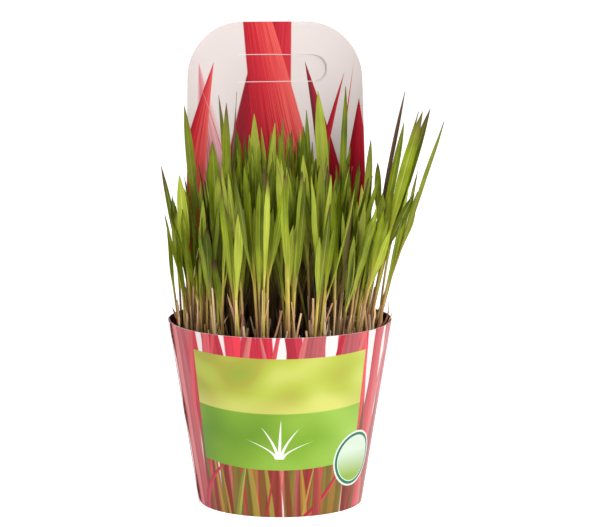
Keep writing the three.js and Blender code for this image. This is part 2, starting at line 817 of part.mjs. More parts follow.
// The leading blades come first, then the other culms, their side blades and the stubs. Each has a
// random stream of its own, so one that finds no room leaves the others as they are.
function growGrass() {
  const blades = [];
  const taken = new Set();
  leadingBlades.forEach((lead, index) => {
    const draw = randomStream(seeds.leading + index);
    const tuft = nearestTuft(lead.root, taken);
    const place = nearestPlace(freePlaces(taken, tuft), tuft, lead.root);
    if (placeBlade(blades, (looseness) => leadingCandidate(lead, tuft, place, draw, looseness))) {
      taken.add(tuft * culmsPerTuft + place);
    }
  });
  for (let tuft = 0; tuft < tuftCount; tuft += 1) {
    for (const place of freePlaces(taken, tuft)) {
      const draw = randomStream(seeds.culms + culmsPerTuft * tuft + place);
      placeBlade(blades, (looseness) => culmCandidate(tuft, place, draw, looseness));
    }
  }
  blades.filter((blade) => !blade.cut).forEach((culm, index) => {
    const draw = randomStream(seeds.sides + index);
    placeBlade(blades, (looseness) => sideCandidate(culm, draw, looseness));
  });
  for (let index = 0; index < tuftCount * stubsPerTuft; index += 1) {
    const draw = randomStream(seeds.stubs + index);
    placeBlade(blades, () => stubCandidate(index % tuftCount, draw));
  }
  return blades;
}

function crownSolid(index) {
  const [x, y] = tuftCentres[index];
  const crown = new THREE.LatheGeometry([
    new THREE.Vector2(0, soilTop - crownDepth),
    new THREE.Vector2(crownFoot, soilTop - crownDepth),
    new THREE.Vector2(crownRadius, soilTop),
    new THREE.Vector2(0, soilTop + crownRise),
  ], crownSides);
  crown.rotateX(Math.PI / 2);
  crown.translate(x, y, 0);
  return toSolid(crown);
}

function tuftSolid(index, blades) {
  const own = blades.filter((blade) => blade.tuft === index);
  return wasm.Manifold.union([crownSolid(index), ...own.map(bladeSolid)]);
}

// ---- Assembly ----
const finishes = {
  card: new THREE.MeshStandardMaterial({ color: 0xc4364a, roughness: 0.35, metalness: 0 }),
  pot: new THREE.MeshStandardMaterial({ color: 0x17181a, roughness: 0.5, metalness: 0 }),
  soil: new THREE.MeshStandardMaterial({ color: 0x241a10, roughness: 1, metalness: 0 }),
  grass: new THREE.MeshStandardMaterial({ color: 0x86a02e, roughness: 0.55, metalness: 0 }),
};

const plant = new THREE.Group();

function addPiece(name, solid, material) {
  const mesh = new THREE.Mesh(toGeometry(solid), material);
  mesh.name = name;
  plant.add(mesh);
}

addPiece('card_sleeve', cardSleeve(), finishes.card);
addPiece('grower_pot', growerPot(), finishes.pot);
addPiece('soil', soilBody(), finishes.soil);
const blades = growGrass();
for (let index = 0; index < tuftCount; index += 1) {
  addPiece(`tuft_${String(index + 1).padStart(2, '0')}`, tuftSolid(index, blades), finishes.grass);
}

export default plant;
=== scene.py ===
"""Japanese blood grass in a nursery pot and a printed card sleeve, dressed around its solids.

Lengths are in millimetres until a mesh is written, which is in metres. +Z is up, the origin is the
centre of the pot's base on the floor, and -Y is the front.
"""
import json
import logging
import math
from collections.abc import Callable
from dataclasses import dataclass, field
from enum import Enum
from functools import partial

import bpy
import numpy as np
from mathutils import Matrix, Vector, noise

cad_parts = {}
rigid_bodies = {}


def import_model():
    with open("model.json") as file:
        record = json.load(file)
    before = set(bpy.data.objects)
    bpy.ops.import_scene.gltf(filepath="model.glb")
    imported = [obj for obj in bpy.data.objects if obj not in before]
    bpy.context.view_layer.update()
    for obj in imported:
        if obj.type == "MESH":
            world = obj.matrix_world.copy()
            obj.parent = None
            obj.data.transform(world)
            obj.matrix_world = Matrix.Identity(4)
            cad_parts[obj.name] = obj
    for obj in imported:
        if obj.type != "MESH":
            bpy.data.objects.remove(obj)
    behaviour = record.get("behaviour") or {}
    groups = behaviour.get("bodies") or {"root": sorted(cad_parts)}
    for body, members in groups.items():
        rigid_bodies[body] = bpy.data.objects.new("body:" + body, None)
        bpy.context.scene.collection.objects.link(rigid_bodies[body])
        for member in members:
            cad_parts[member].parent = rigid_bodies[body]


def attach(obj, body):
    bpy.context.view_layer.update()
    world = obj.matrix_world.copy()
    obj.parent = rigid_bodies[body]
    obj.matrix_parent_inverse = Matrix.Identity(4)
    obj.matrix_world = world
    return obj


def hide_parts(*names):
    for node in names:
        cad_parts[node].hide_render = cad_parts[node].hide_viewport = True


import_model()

Tree = bpy.types.NodeTree
Node = bpy.types.Node
Socket = bpy.types.NodeSocket
Source = Node | Socket
Maker = Callable[..., Node]
Piece = bpy.types.Object
Pair = tuple[float, float]
Point = tuple[float, float, float]

MM = 0.001
FULL_TURN = 2 * math.pi
# The most painted shade that a point deep among the stems gets
FULL_PAINTED_SHADE = 0.85
WHITE = (1.0, 1.0, 1.0, 1.0)
BODY = "root"

log = logging.getLogger("blood_grass")


# ---- helpers
def lerp(low: float, high: float, share: float) -> float:
    """The value at a share of the way from low to high."""
    return low + (high - low) * share


def clamp(value: float, low: float = 0.0, high: float = 1.0) -> float:
    """The value, kept from low to high."""
    return min(max(value, low), high)


def smoothstep(value: np.ndarray) -> np.ndarray:
    """A smooth rise from 0 to 1 for values from 0 to 1."""
    value = np.clip(value, 0.0, 1.0)
    return value * value * (3 - 2 * value)


def linear_colour(hex_colour: str) -> tuple[float, float, float, float]:
    """Turns an sRGB hex value to the linear colour that shaders use.

    Args:
        hex_colour: Six hex digits after a hash sign.

    Returns:
        Red, green, blue and an alpha of one.
    """
    values = [int(hex_colour[i:i + 2], 16) / 255 for i in (1, 3, 5)]
    linear = [v / 12.92 if v <= 0.04045 else ((v + 0.055) / 1.055) ** 2.4 for v in values]
    return (linear[0], linear[1], linear[2], 1.0)


def feed(tree: Tree, node: Node, inputs: dict | tuple) -> None:
    """Gives a node's inputs their constants and links.

    Args:
        tree: The node tree of the material or world.
        node: The node that takes them.
        inputs: What each input takes, by name or number, or in order: a constant, a hex colour, a
            socket, or a node, which stands for its first output.
    """
    for key, value in inputs.items() if isinstance(inputs, dict) else enumerate(inputs):
        if isinstance(value, Node):
            value = value.outputs[0]
        if isinstance(value, Socket):
            tree.links.new(value, node.inputs[key])
        else:
            node.inputs[key].default_value = linear_colour(value) if isinstance(value, str) else value


def add_node(tree: Tree, kind: str, inputs: dict | tuple = (), **settings) -> Node:
    """Adds a node with its settings and links.

    Args:
        tree: The node tree of the material or world.
        kind: The node's type, without its ShaderNode prefix, and after a space its operation.
        inputs: What its inputs take, as in feed.
        settings: The node's own properties. stops gives a colour ramp's places and hex colours.

    Returns:
        The new node.
    """
    kind, _, operation = kind.partition(" ")
    node = tree.nodes.new("ShaderNode" + kind)
    if operation:
        node.operation = operation
    for name, value in settings.items():
        if name == "stops":
            elements = node.color_ramp.elements
            while len(elements) < len(value):
                elements.new(1.0)
            for element, (place, hex_colour) in zip(elements, value):
                element.position = place
                element.color = linear_colour(hex_colour)
        elif name == "interpolation":
            node.color_ramp.interpolation = value
        else:
            setattr(node, name, value)
    feed(tree, node, inputs)
    return node


def deselect_all() -> None:
    """Leaves nothing selected, so that an operator acts on the new piece alone."""
    if bpy.context.object and bpy.context.object.mode != "OBJECT":
        bpy.ops.object.mode_set(mode="OBJECT")
    bpy.ops.object.select_all(action="DESELECT")


def make_active(piece: Piece) -> None:
    """Selects one object alone and makes it the active one."""
    deselect_all()
    piece.select_set(True)
    bpy.context.view_layer.objects.active = piece


def select_face(piece: Piece, face: bpy.types.MeshPolygon) -> None:
    """Selects one face of the active object alone, and starts editing its faces."""
    for polygon in piece.data.polygons:
        polygon.select = polygon.index == face.index
    bpy.ops.object.mode_set(mode="EDIT")
    bpy.ops.mesh.select_mode(type="FACE")


def new_piece(name: str, add: Callable[..., set], **settings) -> Piece:
    """Adds a primitive with nothing else selected, and puts its place into its mesh.

    Args:
        name: The name of the object and its mesh.
        add: The operator that adds it.
        settings: The operator's own properties.

    Returns:
        The new object, which is the active one.
    """
    deselect_all()
    add(**settings)
    piece = bpy.context.object
    piece.name = piece.data.name = name
    bpy.ops.object.transform_apply(location=True)
    return piece


def vertex_array(mesh: bpy.types.Mesh) -> np.ndarray:
    """The mesh's vertices as an array with one row of three for each."""
    flat = np.empty(len(mesh.vertices) * 3)
    mesh.vertices.foreach_get("co", flat)
    return flat.reshape(-1, 3)


def write_vertices(mesh: bpy.types.Mesh, points: np.ndarray) -> None:
    """Places the mesh's vertices at points given in millimetres."""
    mesh.vertices.foreach_set("co", (np.asarray(points) * MM).ravel())
    mesh.update()


def mark_points(piece: Piece, name: str, *values: float | np.ndarray) -> None:
    """Writes one of a piece's colour attributes: a value, or one for each point, per channel."""
    marks = np.empty((len(piece.data.vertices), len(values)), dtype=np.float32)
    for channel, value in enumerate(values):
        marks[:, channel] = value
    piece.data.color_attributes[name].data.foreach_set("color", marks.ravel())


def apply_modifier(piece: Piece, kind: str, **settings) -> None:
    """Adds a modifier to a piece and applies it.

    Args:
        piece: The object that the modifier shapes.
        kind: The modifier's type.
        settings: The modifier's own properties.
    """
    make_active(piece)
    modifier = piece.modifiers.new(kind.title(), kind)
    for name, value in settings.items():
        setattr(modifier, name, value)
    bpy.ops.object.modifier_apply(modifier=modifier.name)


def join_pieces(pieces: list[Piece], name: str) -> Piece:
    """Joins several objects into the first of them.

    Args:
        pieces: The objects to join.
        name: The name of the joined piece.

    Returns:
        The joined object.
    """
    deselect_all()
    for piece in pieces:
        piece.select_set(True)
    bpy.context.view_layer.objects.active = pieces[0]
    if len(pieces) > 1:
        bpy.ops.object.join()
    pieces[0].name = name
    pieces[0].data.name = name
    return pieces[0]


def copy_piece(piece: Piece, name: str) -> Piece:
    """Copies an object with a mesh of its own, and links the copy to the scene."""
    copy = piece.copy()
    copy.data = piece.data.copy()
    copy.name = name
    bpy.context.collection.objects.link(copy)
    return copy


def settle(piece: Piece, slot: str, *nodes: str) -> Piece:
    """Puts a finished piece's place into its mesh, and joins it to the frame.

    Args:
        piece: The finished object.
        slot: The record's material slot; it is not used.
        nodes: The solids that it stands for.

    Returns:
        The same object.
    """
    make_active(piece)
    bpy.ops.object.transform_apply(location=True, rotation=True, scale=True)
    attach(piece, BODY)
    if nodes:
        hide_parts(*nodes)
    log.info("%s: %d faces", piece.name, len(piece.data.polygons))
    return piece


class RandomStream:
    """A seeded stream of numbers that gives the same row in every run."""

    def __init__(self, seed: int) -> None:
        """Starts the stream at its seed."""
        self.state = seed & 0xFFFFFFFF

    def __call__(self, low: float = 0.0, high: float = 1.0) -> float:
        """The next number, from low to high."""
        self.state = (self.state + 0x6D2B79F5) & 0xFFFFFFFF
        mixed = ((self.state ^ (self.state >> 15)) * (self.state | 1)) & 0xFFFFFFFF
        mixed ^= (mixed + (((mixed ^ (mixed >> 7)) * (mixed | 61)) & 0xFFFFFFFF)) & 0xFFFFFFFF
        return low + (high - low) * ((mixed ^ (mixed >> 14)) / 4294967296)


# ---- finishes
@dataclass(frozen=True)
class Finish:
    """A surface finish, which makes one material from its nodes."""

    name: str = "finish"

    def material(self) -> bpy.types.Material:
        """Makes the material.

        Returns:
            The new material.
        """
        material = bpy.data.materials.new(self.name)
        material.use_nodes = True
        tree = material.node_tree
        feed(tree, tree.nodes["Principled BSDF"], self.shade(partial(add_node, tree)))
        return material

    def shade(self, node: Maker) -> dict:
        """Adds the finish's nodes and gives what the shader's inputs take; each finish has its own."""
        raise NotImplementedError


def painted_shade_share(node: Maker, place: Source, outer: float, inner: float) -> Node:
    """How much painted shade a point gets, for standing deep among the other stems that would shade it.

    Args:
        node: Adds a node to the material.
        place: The point, in Object coordinates.
        outer: The distance from the pot's axis, in millimetres, at which the painted shade begins.
        inner: The distance inside which it is full.

    Returns:
        The share of painted shade, from none to full.
    """
    spot = node("SeparateXYZ", (place,))
    flat = node("CombineXYZ", (spot.outputs[0], spot.outputs[1], 0.0))
    inwards = node("VectorMath LENGTH", (flat,))
    return node("MapRange", (inwards.outputs["Value"], outer * MM, inner * MM, 0.0, FULL_PAINTED_SHADE))


def fibre_noise(node: Maker, places: tuple, scales: tuple, scale: float, detail: float) -> Node:
    """A noise drawn out along a leaf, as its fibres are.

    Args:
        node: Adds a node to the material.
        places: The places across and along the leaf, and one that tells leaves apart.
        scales: What each of the places is multiplied by; None leaves it as it is.
        scale: The noise's scale.
        detail: Its detail.

    Returns:
        The noise.
    """
    lanes = node("CombineXYZ", tuple(
        place if by is None else node("Math MULTIPLY", (place, by))
        for place, by in zip(places, scales)))
    return node("TexNoise", {"Vector": lanes, "Scale": scale, "Detail": detail})


@dataclass(frozen=True)
class PrintedBlade:
    """One painted leaf in the sleeve's print, from its foot to its tip, in millimetres."""

    foot: Pair
    tip: Pair
    width: float
    colours: tuple[str, str, str]
    bow: float = 1.0
    taper: float = 2.0
    softness: float = 0.05
    veins: float = 0.9
    vein_stretch: float = 0.012
    streaks: Pair = (1.1, -0.05)
    light_side: float = 0.26

    def paint(self, node: Maker, across: Source, up: Source, ground: Source) -> Node:
        """Paints the leaf over what is already there.

        Args:
            node: Adds a node to the material.
            across: The place along the sleeve's girth, in millimetres.
            up: The height, in millimetres.
            ground: The colour below.

        Returns:
            The colour with the leaf painted on it.
        """
        (foot, low), (tip, high) = self.foot, self.tip
        share = node("MapRange", (up, low, high, 0.0, 1.0))
        bent = node("Math POWER", (share, self.bow))
        middle = node("Math MULTIPLY_ADD", (bent, tip - foot, foot))
        off = node("Math SUBTRACT", (across, middle))
        fall = node("Math POWER", (share, self.taper))
        half = node("Math MULTIPLY_ADD", (fall, -self.width / 2, self.width / 2 + 0.01))
        place = node("Math DIVIDE", (off, half))
        side = node("Math ABSOLUTE", (place,))
        mask = node("MapRange", (side, 1.0, 1.0 - self.softness, 0.0, 1.0))
        reach = node("Math COMPARE", (up, (low + high) / 2, (high - low) / 2))
        mask = node("Math MULTIPLY", (mask, reach))
        scales = (self.veins * self.width / 2, self.vein_stretch, None)
        streak = fibre_noise(node, (place, up, foot), scales, 1.0, 2.5)
        shift = node("Math MULTIPLY_ADD", (streak, *self.streaks))
        tone = node("Math MULTIPLY_ADD", (place, self.light_side, shift))
        colour = node("ValToRGB", (tone,), stops=list(zip((0.24, 0.5, 0.76), self.colours)))
        return node("MixRGB", (mask, ground, colour))


@dataclass(frozen=True)
class LeafRow:
    """A row of leaves painted side by side, rooted below the print and all inclined one way."""

    spacing: float
    lean: float
    heights: Pair
    widths: Pair
    colours: tuple[str, ...]
    seed: float
    missing: float = 0.0
    softness: float = 0.12
    taper: float = 1.7
    first_cell: float = 40.0
    swing: float = 0.95
    vein_stretch: float = 0.014
    vein_scale: float = 0.9
    light_side: Pair = (0.13, 0.5)

    def paint(self, node: Maker, across: Source, up: Source, ground: Source) -> Node:
        """Paints the row over what is already there.

        Args:
            node: Adds a node to the material.
            across: The place along the sleeve's girth, in millimetres.
            up: The height, in millimetres.
            ground: The colour below.

        Returns:
            The colour with the row painted on it.
        """
        sheared = node("Math MULTIPLY_ADD", (up, -self.lean, across))
        place = node("Math MULTIPLY_ADD", (sheared, 1 / self.spacing, self.first_cell))
        cell = node("Math FLOOR", (place,))
        key = node("Math ADD", (cell, self.seed))
        drawn = node("TexWhiteNoise", {"W": key}, noise_dimensions="1D")
        drawn = node("SeparateColor", (drawn.outputs["Color"],))
        aside_draw, height_draw, width_draw = drawn.outputs
        off = node("Math FRACT", (place,))
        off = node("Math MULTIPLY_ADD", (off, self.spacing, -self.spacing / 2))
        low, high = self.heights
        height = node("Math MULTIPLY_ADD", (height_draw, high - low, low))
        share = node("Math DIVIDE", (up, height))
        share = node("Math MAXIMUM", (share, 0.0))
        narrowed = node("Math POWER", (share, self.taper))
        fall = node("Math SUBTRACT", (1.0, narrowed))
        low, high = self.widths
        half = node("Math MULTIPLY_ADD", (width_draw, (high - low) / 2, low / 2))
        reach = node("Math MULTIPLY", (half, fall))
        room = node("Math SUBTRACT", (self.spacing / 2, reach))
        swing = node("Math MULTIPLY_ADD", (aside_draw, 2 * self.swing, -self.swing))
        aside = node("Math MULTIPLY", (swing, room))
        off = node("Math SUBTRACT", (off, aside))
        reach = node("Math MAXIMUM", (reach, 0.02))
        inside = node("Math DIVIDE", (off, reach))
        side = node("Math ABSOLUTE", (inside,))
        mask = node("MapRange", (side, 1.0, 1.0 - self.softness, 0.0, 1.0))
        grown = node("Math GREATER_THAN", (fall, 0.0))
        pick = node("Math MULTIPLY_ADD", (aside_draw, 5.3, width_draw))
        pick = node("Math FRACT", (pick,))
        luck = node("Math MULTIPLY", (pick, 7.7))
        luck = node("Math FRACT", (luck,))
        kept = node("Math GREATER_THAN", (luck, self.missing))
        kept = node("Math MULTIPLY", (grown, kept))
        mask = node("Math MULTIPLY", (mask, kept))
        stops = [(i / len(self.colours), colour) for i, colour in enumerate(self.colours)]
        colour = node("ValToRGB", (pick,), interpolation="CONSTANT", stops=stops)
        scales = (half, self.vein_stretch, 50.0)
        streak = fibre_noise(node, (inside, up, pick), scales, self.vein_scale, 2.5)
        shade = node("Math MULTIPLY_ADD", (inside, *self.light_side))
        shade = node("Math MULTIPLY_ADD", (streak, 1.0, shade))
        colour = node("HueSaturation", {"Color": colour, "Value": shade})
        return node("MixRGB", (mask, ground, colour))


@dataclass(frozen=True)
class CardPrint(Finish):
    """Coated card, offset printed and varnished: saturated ink under a smooth, fairly glossy coat."""

    name: str = "coated_card_print"
    roughness: float = 0.4
    specular: float = 0.12
    coat: float = 0.2
    coat_roughness: float = 0.1
    grain: float = 2.5

    def places(self, node: Maker) -> list[Socket]:
        """The print's own coordinates: millimetres along the girth, and millimetres of height."""
        blank = node("UVMap", uv_map="card_mm")
        return node("SeparateXYZ", (blank,)).outputs[:2]

    def varnished(self, node: Maker, colour: Source) -> dict:
        """What the shader takes for a colour under the print's varnish."""
        place = node("TexCoord").outputs["Object"]
        grain = node("TexNoise", {"Vector": place, "Scale": 1 / (self.grain * MM), "Detail": 3.0})
        bump = node("Bump", {"Height": grain, "Strength": 0.08, "Distance": 0.1 * MM})
        return {"Base Color": colour, "Roughness": self.roughness, "Specular IOR Level": self.specular,
                "Coat Weight": self.coat, "Coat Roughness": self.coat_roughness, "Normal": bump}


@dataclass(frozen=True)
class OuterPrint(CardPrint):
    """The sleeve's outside: leaves in reds and pinks, olive and brown low down, with plain labels."""

    name: str = "coated_card_outside"
    girth_radius: float = 60.0
    rim_radius: float = 68.5
    collar_height: float = 113.0
    label_turn: float = -2.6
    label_half: Pair = (56.0, 53.4)
    label_heights: Point = (30.0, 65.5, 99.9)
    label_rises: Point = (3.2, 2.8, 1.7)
    label_blur: Pair = (26.0, 20.0)
    badge_turn: float = 51.0
    badge_height: float = 33.0
    badge_radius: float = 17.4
    badge_squeeze: float = 0.93
    badge_face: float = 0.8
    print_start: float = -80.0
    print_end: float = 295.0
    ground: str = "#ddcfce"
    bare_card: str = "#d9cfcd"

    def shade(self, node: Maker) -> dict:
        """Paints the leaves, then the label and the round badge over them."""
        across, up = self.places(node)
        raised = node("Math GREATER_THAN", (up, self.collar_height))
        behind = node("Math MULTIPLY_ADD", (across, -self.girth_radius / self.rim_radius,
                                         math.pi * self.girth_radius))
        across = node("Mix", {0: raised, 2: across, 3: behind})
        colour = node("RGB")
        colour.outputs[0].default_value = linear_colour(self.ground)
        for leaves in (*self.rows(), *self.arching()):
            colour = leaves.paint(node, across, up, colour)
        colour = self.label(node, across, up, colour)
        colour = self.badge(node, across, up, colour)
        flap = node("Math LESS_THAN", (across, self.print_start))
        margin = node("Math GREATER_THAN", (across, self.print_end))
        bare = node("Math MAXIMUM", (flap, margin))
        return self.varnished(node, node("MixRGB", (bare, colour, self.bare_card)))

    def rows(self) -> list[LeafRow]:
        """Packed leaves, the tall reds first, then the short olive and brown ones in front of them."""
        tall, low = (170, 300), 0.45
        return [
            LeafRow(15.0, -0.04, tall, (14.6, 15), ("#b01c31", "#c92f41", "#c94a51", "#a8263a"), 3.0),
            LeafRow(21.0, 0.08, tall, (9, 18), ("#c44e56", "#d04450", "#b0283a", "#a04a50"), 12.0, 0.1),
            LeafRow(14.0, -0.13, (120, 230), (6, 11), ("#ac1c32", "#c6464f", "#97182c", "#b85a5e"), 23.0,
                    0.3),
            LeafRow(17.0, 0.16, (120, 210), (4, 9), ("#bf3d49", "#a01a2f", "#bd5f5e"), 37.0, 0.5),
            LeafRow(9.0, -0.03, (46, 84), (8.6, 9), ("#774a1c", "#712616", "#6a551c", "#7e3320"), 52.0, 0.0,
                    0.35, 2.6),
            LeafRow(8.0, 0.06, (36, 72), (4, 7.5), ("#8c6726", "#7b231c", "#786422", "#682a16"), 67.0,
                    0.3, low),
            LeafRow(11.0, -0.09, (32, 66), (3, 6), ("#9c752c", "#8a2828", "#703616", "#948032"), 83.0,
                    0.4, low),
            LeafRow(23.0, 0.2, (30, 60), (1.6, 3.2), ("#b35c50", "#a08c40", "#982a32"), 97.0, 0.5, 0.5),
        ]

    def arching(self) -> list[PrintedBlade]:
        """A few leaves that stand or bend in front of the others."""
        crimson, coral = ("#7c1026", "#a81e33", "#bd3f4a"), ("#a03038", "#bd4c55", "#cc7274")
        rose = ("#ae343e", "#bd454c", "#c6595c")
        olive, russet = ("#5c5c22", "#817c32", "#9c9544"), ("#7a2524", "#92382f", "#a54c3a")
        upright = {"veins": 1.2, "softness": 0.15}
        return [
            PrintedBlade((-78, -60), (-79, 330), 13.0, rose, **upright),
            PrintedBlade((-68, -40), (-72, 190), 8.0, crimson, **upright),
            PrintedBlade((-66, -6), (-28, 40), 6.5, crimson, bow=2.2),
            PrintedBlade((-40, -30), (-22, 44), 7.5, olive, bow=1.3),
            PrintedBlade((-6, -6), (44, 34), 5.0, crimson, bow=0.45),
            PrintedBlade((26, -30), (20, 60), 9.5, russet, bow=1.5, softness=0.2),
            PrintedBlade((65, -60), (61, 330), 11.0, rose, **upright),
            PrintedBlade((78, -60), (80, 260), 8.0, crimson, **upright),
            PrintedBlade((92, -8), (74, 84), 9.0, coral, bow=1.8),
            PrintedBlade((128, -8), (150, 96), 8.0, crimson, bow=0.7),
            PrintedBlade((205, -8), (176, 90), 9.0, crimson, bow=1.6),
            PrintedBlade((236, -8), (262, 70), 7.0, coral, bow=0.6),
        ]

    def label(self, node: Maker, across: Source, up: Source, colour: Source) -> Node:
        """A plain two-part label, yellow-green over green, with a sprig of grass, and painted light that
        brightens it towards the right.

        Its lines are straight on the flat blank, so they rise towards its sides on the cone.
        """
        bottom, middle, top = self.label_heights
        turned = -self.label_turn * math.radians(self.girth_radius)
        off = node("Math ADD", (across, turned))
        spread = node("Math MULTIPLY", (off, 1 / self.label_half[1]))
        bow = node("Math MULTIPLY", (spread, spread))
        lowest, level, highest = [node("Math MULTIPLY_ADD", (bow, -rise, up))
                                  for rise in self.label_rises]
        half = node("MapRange", (up, bottom, top, *self.label_half))
        side = node("Math ABSOLUTE", (off,))
        mask = node("Math LESS_THAN", (side, half))
        above = node("Math GREATER_THAN", (lowest, bottom))
        below = node("Math LESS_THAN", (highest, top))
        inside = node("Math MULTIPLY", (above, below))
        mask = node("Math MULTIPLY", (mask, inside))
        wide, tall = self.label_blur
        haze = fibre_noise(node, (across, up, 5.0), (1 / wide, 1 / tall, None), 1.0, 0.0)
        # Painted light: the label grows lighter from left to right, as under a light from the right.
        light = node("MapRange", (off, -50.0, 50.0, -0.13, 0.13))
        parts = []
        for contrast, base, stops in (
                (0.6, 0.22, [(0.3, "#8c9a33"), (0.42, "#9d9b37"), (0.56, "#a7b142"), (0.72, "#bdc160")]),
                (0.25, 0.38, [(0.34, "#5b831a"), (0.5, "#769c2a"), (0.68, "#93b64a")])):
            tone = node("Math MULTIPLY_ADD", (haze, contrast, light))
            tone = node("Math ADD", (tone, base))
            parts.append(node("ValToRGB", (tone,), stops=stops))
        upper, lower = parts
        glow = node("MapRange", (level, middle + 12, middle, 0.0, 0.6))
        upper = node("MixRGB", (glow, upper, "#c9c56e"))
        part = node("MapRange", (level, middle - 0.3, middle + 0.3, 0.0, 1.0))
        panels = node("MixRGB", (part, lower, upper))
        for blade in self.sprig():
            panels = blade.paint(node, off, up, panels)
        return node("MixRGB", (mask, colour, panels))

    def sprig(self) -> list[PrintedBlade]:
        """A plain white sprig of grass for the label, of blades with a foot, reach, top and bow each."""
        white = ("#e4ead6", "#e9eede", "#eef2e6")
        blades = ((-2.0, -19, 49, 1.8), (-1.0, -10, 57, 1.6), (0, 1.0, 61.5, 1.4), (1.0, 11, 56, 1.6),
                  (2.0, 20, 48, 1.8))
        return [PrintedBlade((foot, 37.0), (foot + reach, top), 2.2, white, bow=bow, softness=0.3)
                for foot, reach, top, bow in blades]

    def badge(self, node: Maker, across: Source, up: Source, colour: Source) -> Node:
        """A plain round badge: white, a dark green ring, and a pale middle that turns green low down."""
        turned = -self.badge_turn * math.radians(self.girth_radius)
        off = node("Math ADD", (across, turned))
        off = node("Math MULTIPLY", (off, self.badge_squeeze))
        rise = node("Math ADD", (up, -self.badge_height))
        spot = node("CombineXYZ", (off, rise, 0.0))
        distance = node("VectorMath LENGTH", (spot,)).outputs["Value"]
        share = node("Math MULTIPLY", (distance, 1 / self.badge_radius))
        middle = node("MapRange", (rise, 0.3 * self.badge_radius, -0.6 * self.badge_radius, 0.0, 1.0))
        centre = node("MixRGB", (middle, "#c3d2bf", "#85a63c"))
        ring = node("ValToRGB", (share,), interpolation="CONSTANT", stops=[
            (0.0, "#1f6e55"), (self.badge_face, "#d0d8cd"), (0.83, "#1b6b52"), (0.93, "#d0d6cd")])
        inner = node("Math LESS_THAN", (share, self.badge_face))
        face = node("MixRGB", (inner, ring, centre))
        inside = node("Math LESS_THAN", (share, 1.0))
        return node("MixRGB", (inside, colour, face))


@dataclass(frozen=True)
class InnerPrint(CardPrint):
    """The side that faces the plant: large red leaves on a pale ground, and deep maroon painted shade in
    the collar.
    """

    name: str = "coated_card_inside"
    coat: float = 0.03
    coat_roughness: float = 0.3
    collar_height: float = 113.0
    cloud: Pair = (60.0, 70.0)
    grip_heights: Pair = (249.0, 266.0)
    grip_ends: Pair = (-24.0, 26.0)

    def shade(self, node: Maker) -> dict:
        """Paints the pale ground, the large leaves, the cut lines of the grip, and deep maroon painted
        shade in the collar.
        """
        across, up = self.places(node)
        wide, tall = self.cloud
        haze = fibre_noise(node, (across, up, 1.0), (1 / wide, 1 / tall, None), 1.0, 1.0)
        colour = node("ValToRGB", (haze,), stops=[(0.3, "#dad0cc"), (0.55, "#d6cbc8"), (0.75, "#d1c5c2")])
        for blade in self.blades():
            colour = blade.paint(node, across, up, colour)
        for height in self.grip_heights:
            colour = self.cut_line(node, across, up, colour, height)
        # Painted shade: deep maroon inside the collar, fading out 16 mm above it, for the shade in the
        # collar's hollow.
        rim = node("MapRange", (up, self.collar_height + 16, self.collar_height - 2, 0.0, 1.0))
        colour = node("MixRGB", (rim, colour, "#5c0f1c"))
        return self.varnished(node, colour)

    def blades(self) -> list[PrintedBlade]:
        """Large leaves that fan upwards from the collar."""
        deep, red = ("#560515", "#880c1f", "#a81c2e"), ("#82091b", "#ae152a", "#c42c37")
        coral, pink = ("#a51424", "#c82c36", "#dc5c54"), ("#b5505e", "#cf8489", "#dcb0b1")
        return [
            PrintedBlade((-28, 100), (-50, 262), 46, pink, bow=1.1, taper=1.5, softness=0.5),
            PrintedBlade((50, 100), (55, 240), 34, red, bow=0.8, taper=1.6),
            PrintedBlade((-66, 100), (-40, 262), 34, coral, bow=1.7, taper=1.5),
            PrintedBlade((-20, 90), (12, 345), 56, red, bow=1.5, taper=1.7, veins=1.1),
            PrintedBlade((22, 90), (-26, 360), 50, coral, bow=1.2, taper=1.6, veins=1.2),
            PrintedBlade((46, 100), (20, 262), 30, deep, bow=1.7, taper=1.3),
            PrintedBlade((14, 100), (46, 256), 14, red, bow=1.5, taper=1.3),
            PrintedBlade((-22, 150), (-50, 250), 3.0, pink, bow=1.4, taper=1.2, softness=0.5),
            PrintedBlade((40, 170), (52, 262), 3.0, coral, bow=1.2, taper=1.2, softness=0.5),
        ]

    def cut_line(self, node: Maker, across: Source, up: Source, colour: Source,
                 height: float) -> Node:
        """A fine white line where the grip's edge is cut through the print."""
        left, right = self.grip_ends
        off = node("Math SUBTRACT", (up, height))
        side = node("Math ABSOLUTE", (off,))
        near = node("MapRange", (side, 0.3, 0.15, 0.0, 0.75))
        short = node("Math LESS_THAN", (across, right))
        past = node("Math GREATER_THAN", (across, left))
        mask = node("Math MULTIPLY", (near, short))
        mask = node("Math MULTIPLY", (mask, past))
        return node("MixRGB", (mask, colour, "#e8dfde"))


@dataclass(frozen=True)
class CutCardEdge(Finish):
    """The cut edge of white card: matt, with the faint unevenness of compressed fibres."""

    name: str = "cut_white_card_edge"
    grain: float = 0.6

    def shade(self, node: Maker) -> dict:
        """Near white with a fine mottle."""
        place = node("TexCoord").outputs["Object"]
        mottle = node("TexNoise", {"Vector": place, "Scale": 1 / (self.grain * MM)})
        colour = node("ValToRGB", (mottle,), stops=[(0.3, "#e8cdce"), (0.7, "#f4dddd")])
        return {"Base Color": colour, "Roughness": 0.8}


